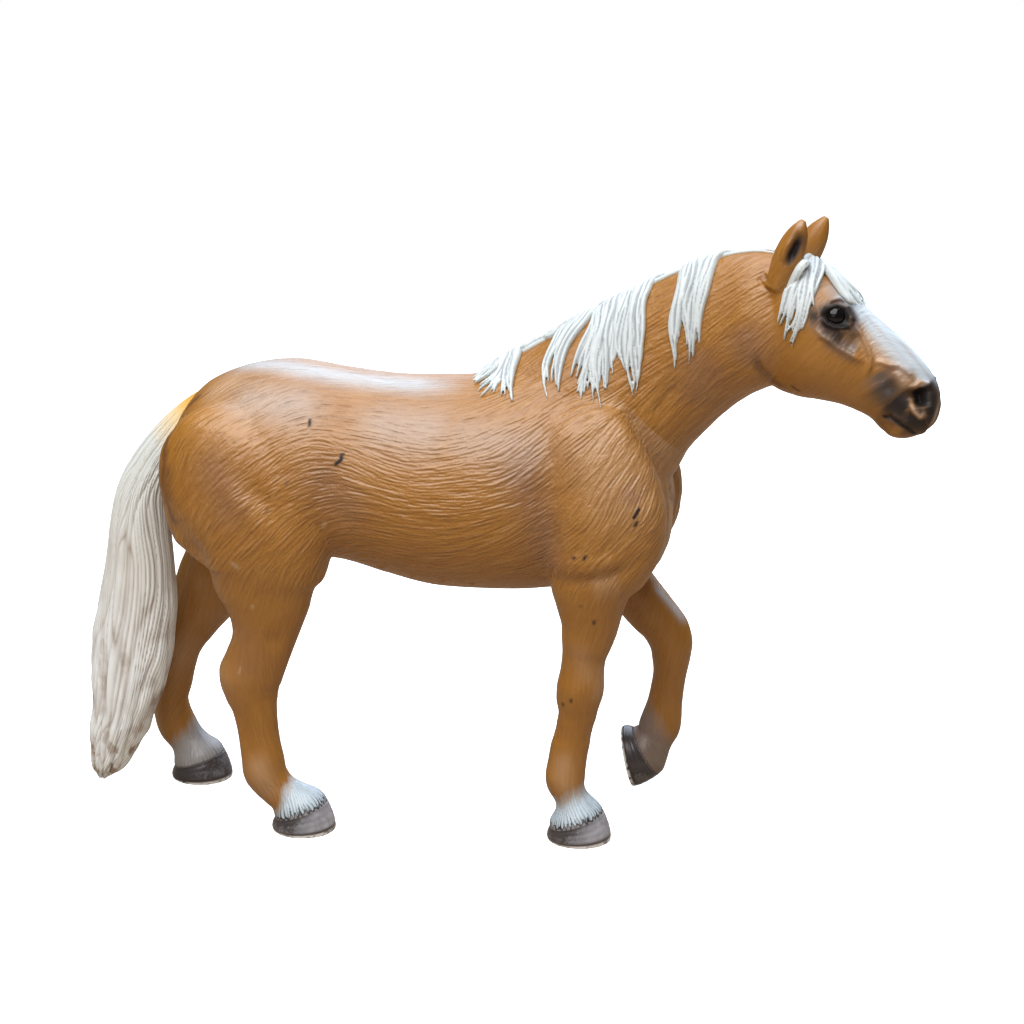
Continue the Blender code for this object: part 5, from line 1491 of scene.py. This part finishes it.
# Over the tail's tone: greyer towards the top, painted shade in the creases, yellow and orange at the root, a
# brownish middle and soil towards the tip
colour = layered(
    tree, colour, (((0.6 - along) * 2.5).clip() * 0.75, (0.60, 0.64, 0.62)),
    ((painted(tree, "crease") * 0.7).clip(), (0.26, 0.19, 0.13)),
    (((0.19 - along) * 9.0).clip(), (0.74, 0.50, 0.16)), (((0.11 - along) * 16.0).clip(), (0.62, 0.28, 0.03)),
    ((middle * 0.2).clip(), (0.42, 0.30, 0.19)), (soil, (0.22, 0.11, 0.04)))
plug(tree, colour, shader.inputs["Base Color"])
dress([tail], tail_material)

# %% [markdown]
# ## Horn and eye
# The hooves are grey paint, grained and speckled, dark at the heel and in a band above the rim, and
# scraped to bare white plastic at the rim. The two far hooves are darkened all over with painted shade.
# The eyes are black gloss, the glossiest paint of all.

# %% Horn and eye
GRAIN_DEPTH = 0.0001
horn, tree, shader = new_material("painted_horn", 0.3)
grain = clouds(tree, 700.0, 4.0)
speckle = clouds(tree, 2600.0, 2.0)
scraped = (painted(tree, "rim") * ((clouds(tree, 900.0, 3.0) - 0.38) * 9.0).clip()).clip()
# The heel paint also carries the painted shade of the far hooves
colour = layered(
    tree, mixed(tree, ((grain - 0.3) * 2.5).clip(), (0.25, 0.25, 0.28), (0.43, 0.43, 0.475)),
    ((painted(tree, "heel") * (speckle + grain * 1.6 - 0.45)).clip() * 0.92, (0.028, 0.02, 0.018)),
    ((painted(tree, "band") * (grain + 0.6)).clip() * 0.9, (0.04, 0.025, 0.02)),
    ((painted(tree, "top") * 0.25).clip(), (0.03, 0.022, 0.02)), (scraped, (0.95, 0.95, 0.94)))
plug(tree, colour, shader.inputs["Base Color"])
bump = node(tree, "ShaderNodeBump", 0, Strength=0.5, Distance=GRAIN_DEPTH, Height=grain)
plug(tree, bump, shader.inputs["Normal"])
dress(HOOVES, horn)
eye_gloss, tree, shader = new_material("glossy_eye", 0.06)
gloss = mixed(tree, clouds(tree, 500.0), (0.002, 0.002, 0.003), (0.006, 0.004, 0.004))
plug(tree, gloss, shader.inputs["Base Color"])
shader.inputs["Specular IOR Level"].default_value = 0.32
dress(EYES, eye_gloss)

# %% [markdown]
# ## Stage
# A pale floor and a white surround that the camera sees, soft light from above and from the front.

# %% Stage
bpy.context.scene.view_settings.view_transform = "Standard"


def by_camera(tree, lights, looks, output):
    """One shader that lights the horse and another that the camera sees in its place."""
    rays = node(tree, "ShaderNodeLightPath")
    blend = joined(tree, "ShaderNodeMixShader", rays, lights, looks)
    plug(tree, blend, tree.nodes.new(output).inputs["Surface"])


def lamp(name, place, size, power, colour):
    """A square area lamp that looks at the middle of the horse."""
    data = bpy.data.lights.new(name, "AREA")
    data.size, data.energy, data.color = size, power, colour
    return placed(name, data, place, (Vector(place) - Vector(VIEW_TARGET)).to_track_quat("Z", "Y"))


world = bpy.data.worlds.new("surround")
floor_material = bpy.data.materials.new("pale_floor")
for shaded in (world, floor_material):
    shaded.use_nodes = True
    shaded.node_tree.nodes.clear()
bpy.context.scene.world = world
tree = world.node_tree
by_camera(tree, node(tree, "ShaderNodeBackground", Color=(1.0, 0.9, 0.8), Strength=0.12),
          node(tree, "ShaderNodeBackground", Color=(1.0, 1.0, 1.0)), "ShaderNodeOutputWorld")
lamp("top", (-0.05, -0.22, 0.52), 0.55, 4.9, (1.0, 1.0, 1.0))
lamp("front", (-0.1, -0.6, 0.3), 0.4, 0.45, (1.0, 0.95, 0.9))
lamp("behind", (0.1, 0.4, 0.42), 0.7, 4.6, (0.72, 0.84, 1.0))
tree = floor_material.node_tree
bright = joined(tree, "ShaderNodeAddShader", node(tree, "ShaderNodeBsdfDiffuse", Color=(0.9, 0.9, 0.9)),
                node(tree, "ShaderNodeEmission", Strength=0.9))
dim = node(tree, "ShaderNodeBsdfDiffuse", Color=(0.38, 0.30, 0.22))
by_camera(tree, dim, bright, "ShaderNodeOutputMaterial")
FLOOR_HALF = 1.5
corners = np.array([(-1, -1, 0), (1, -1, 0), (1, 1, 0), (-1, 1, 0)]) * FLOOR_HALF
floor = mesh_object("floor", corners, [(0, 1, 2, 3)])
floor.data.materials.append(floor_material)
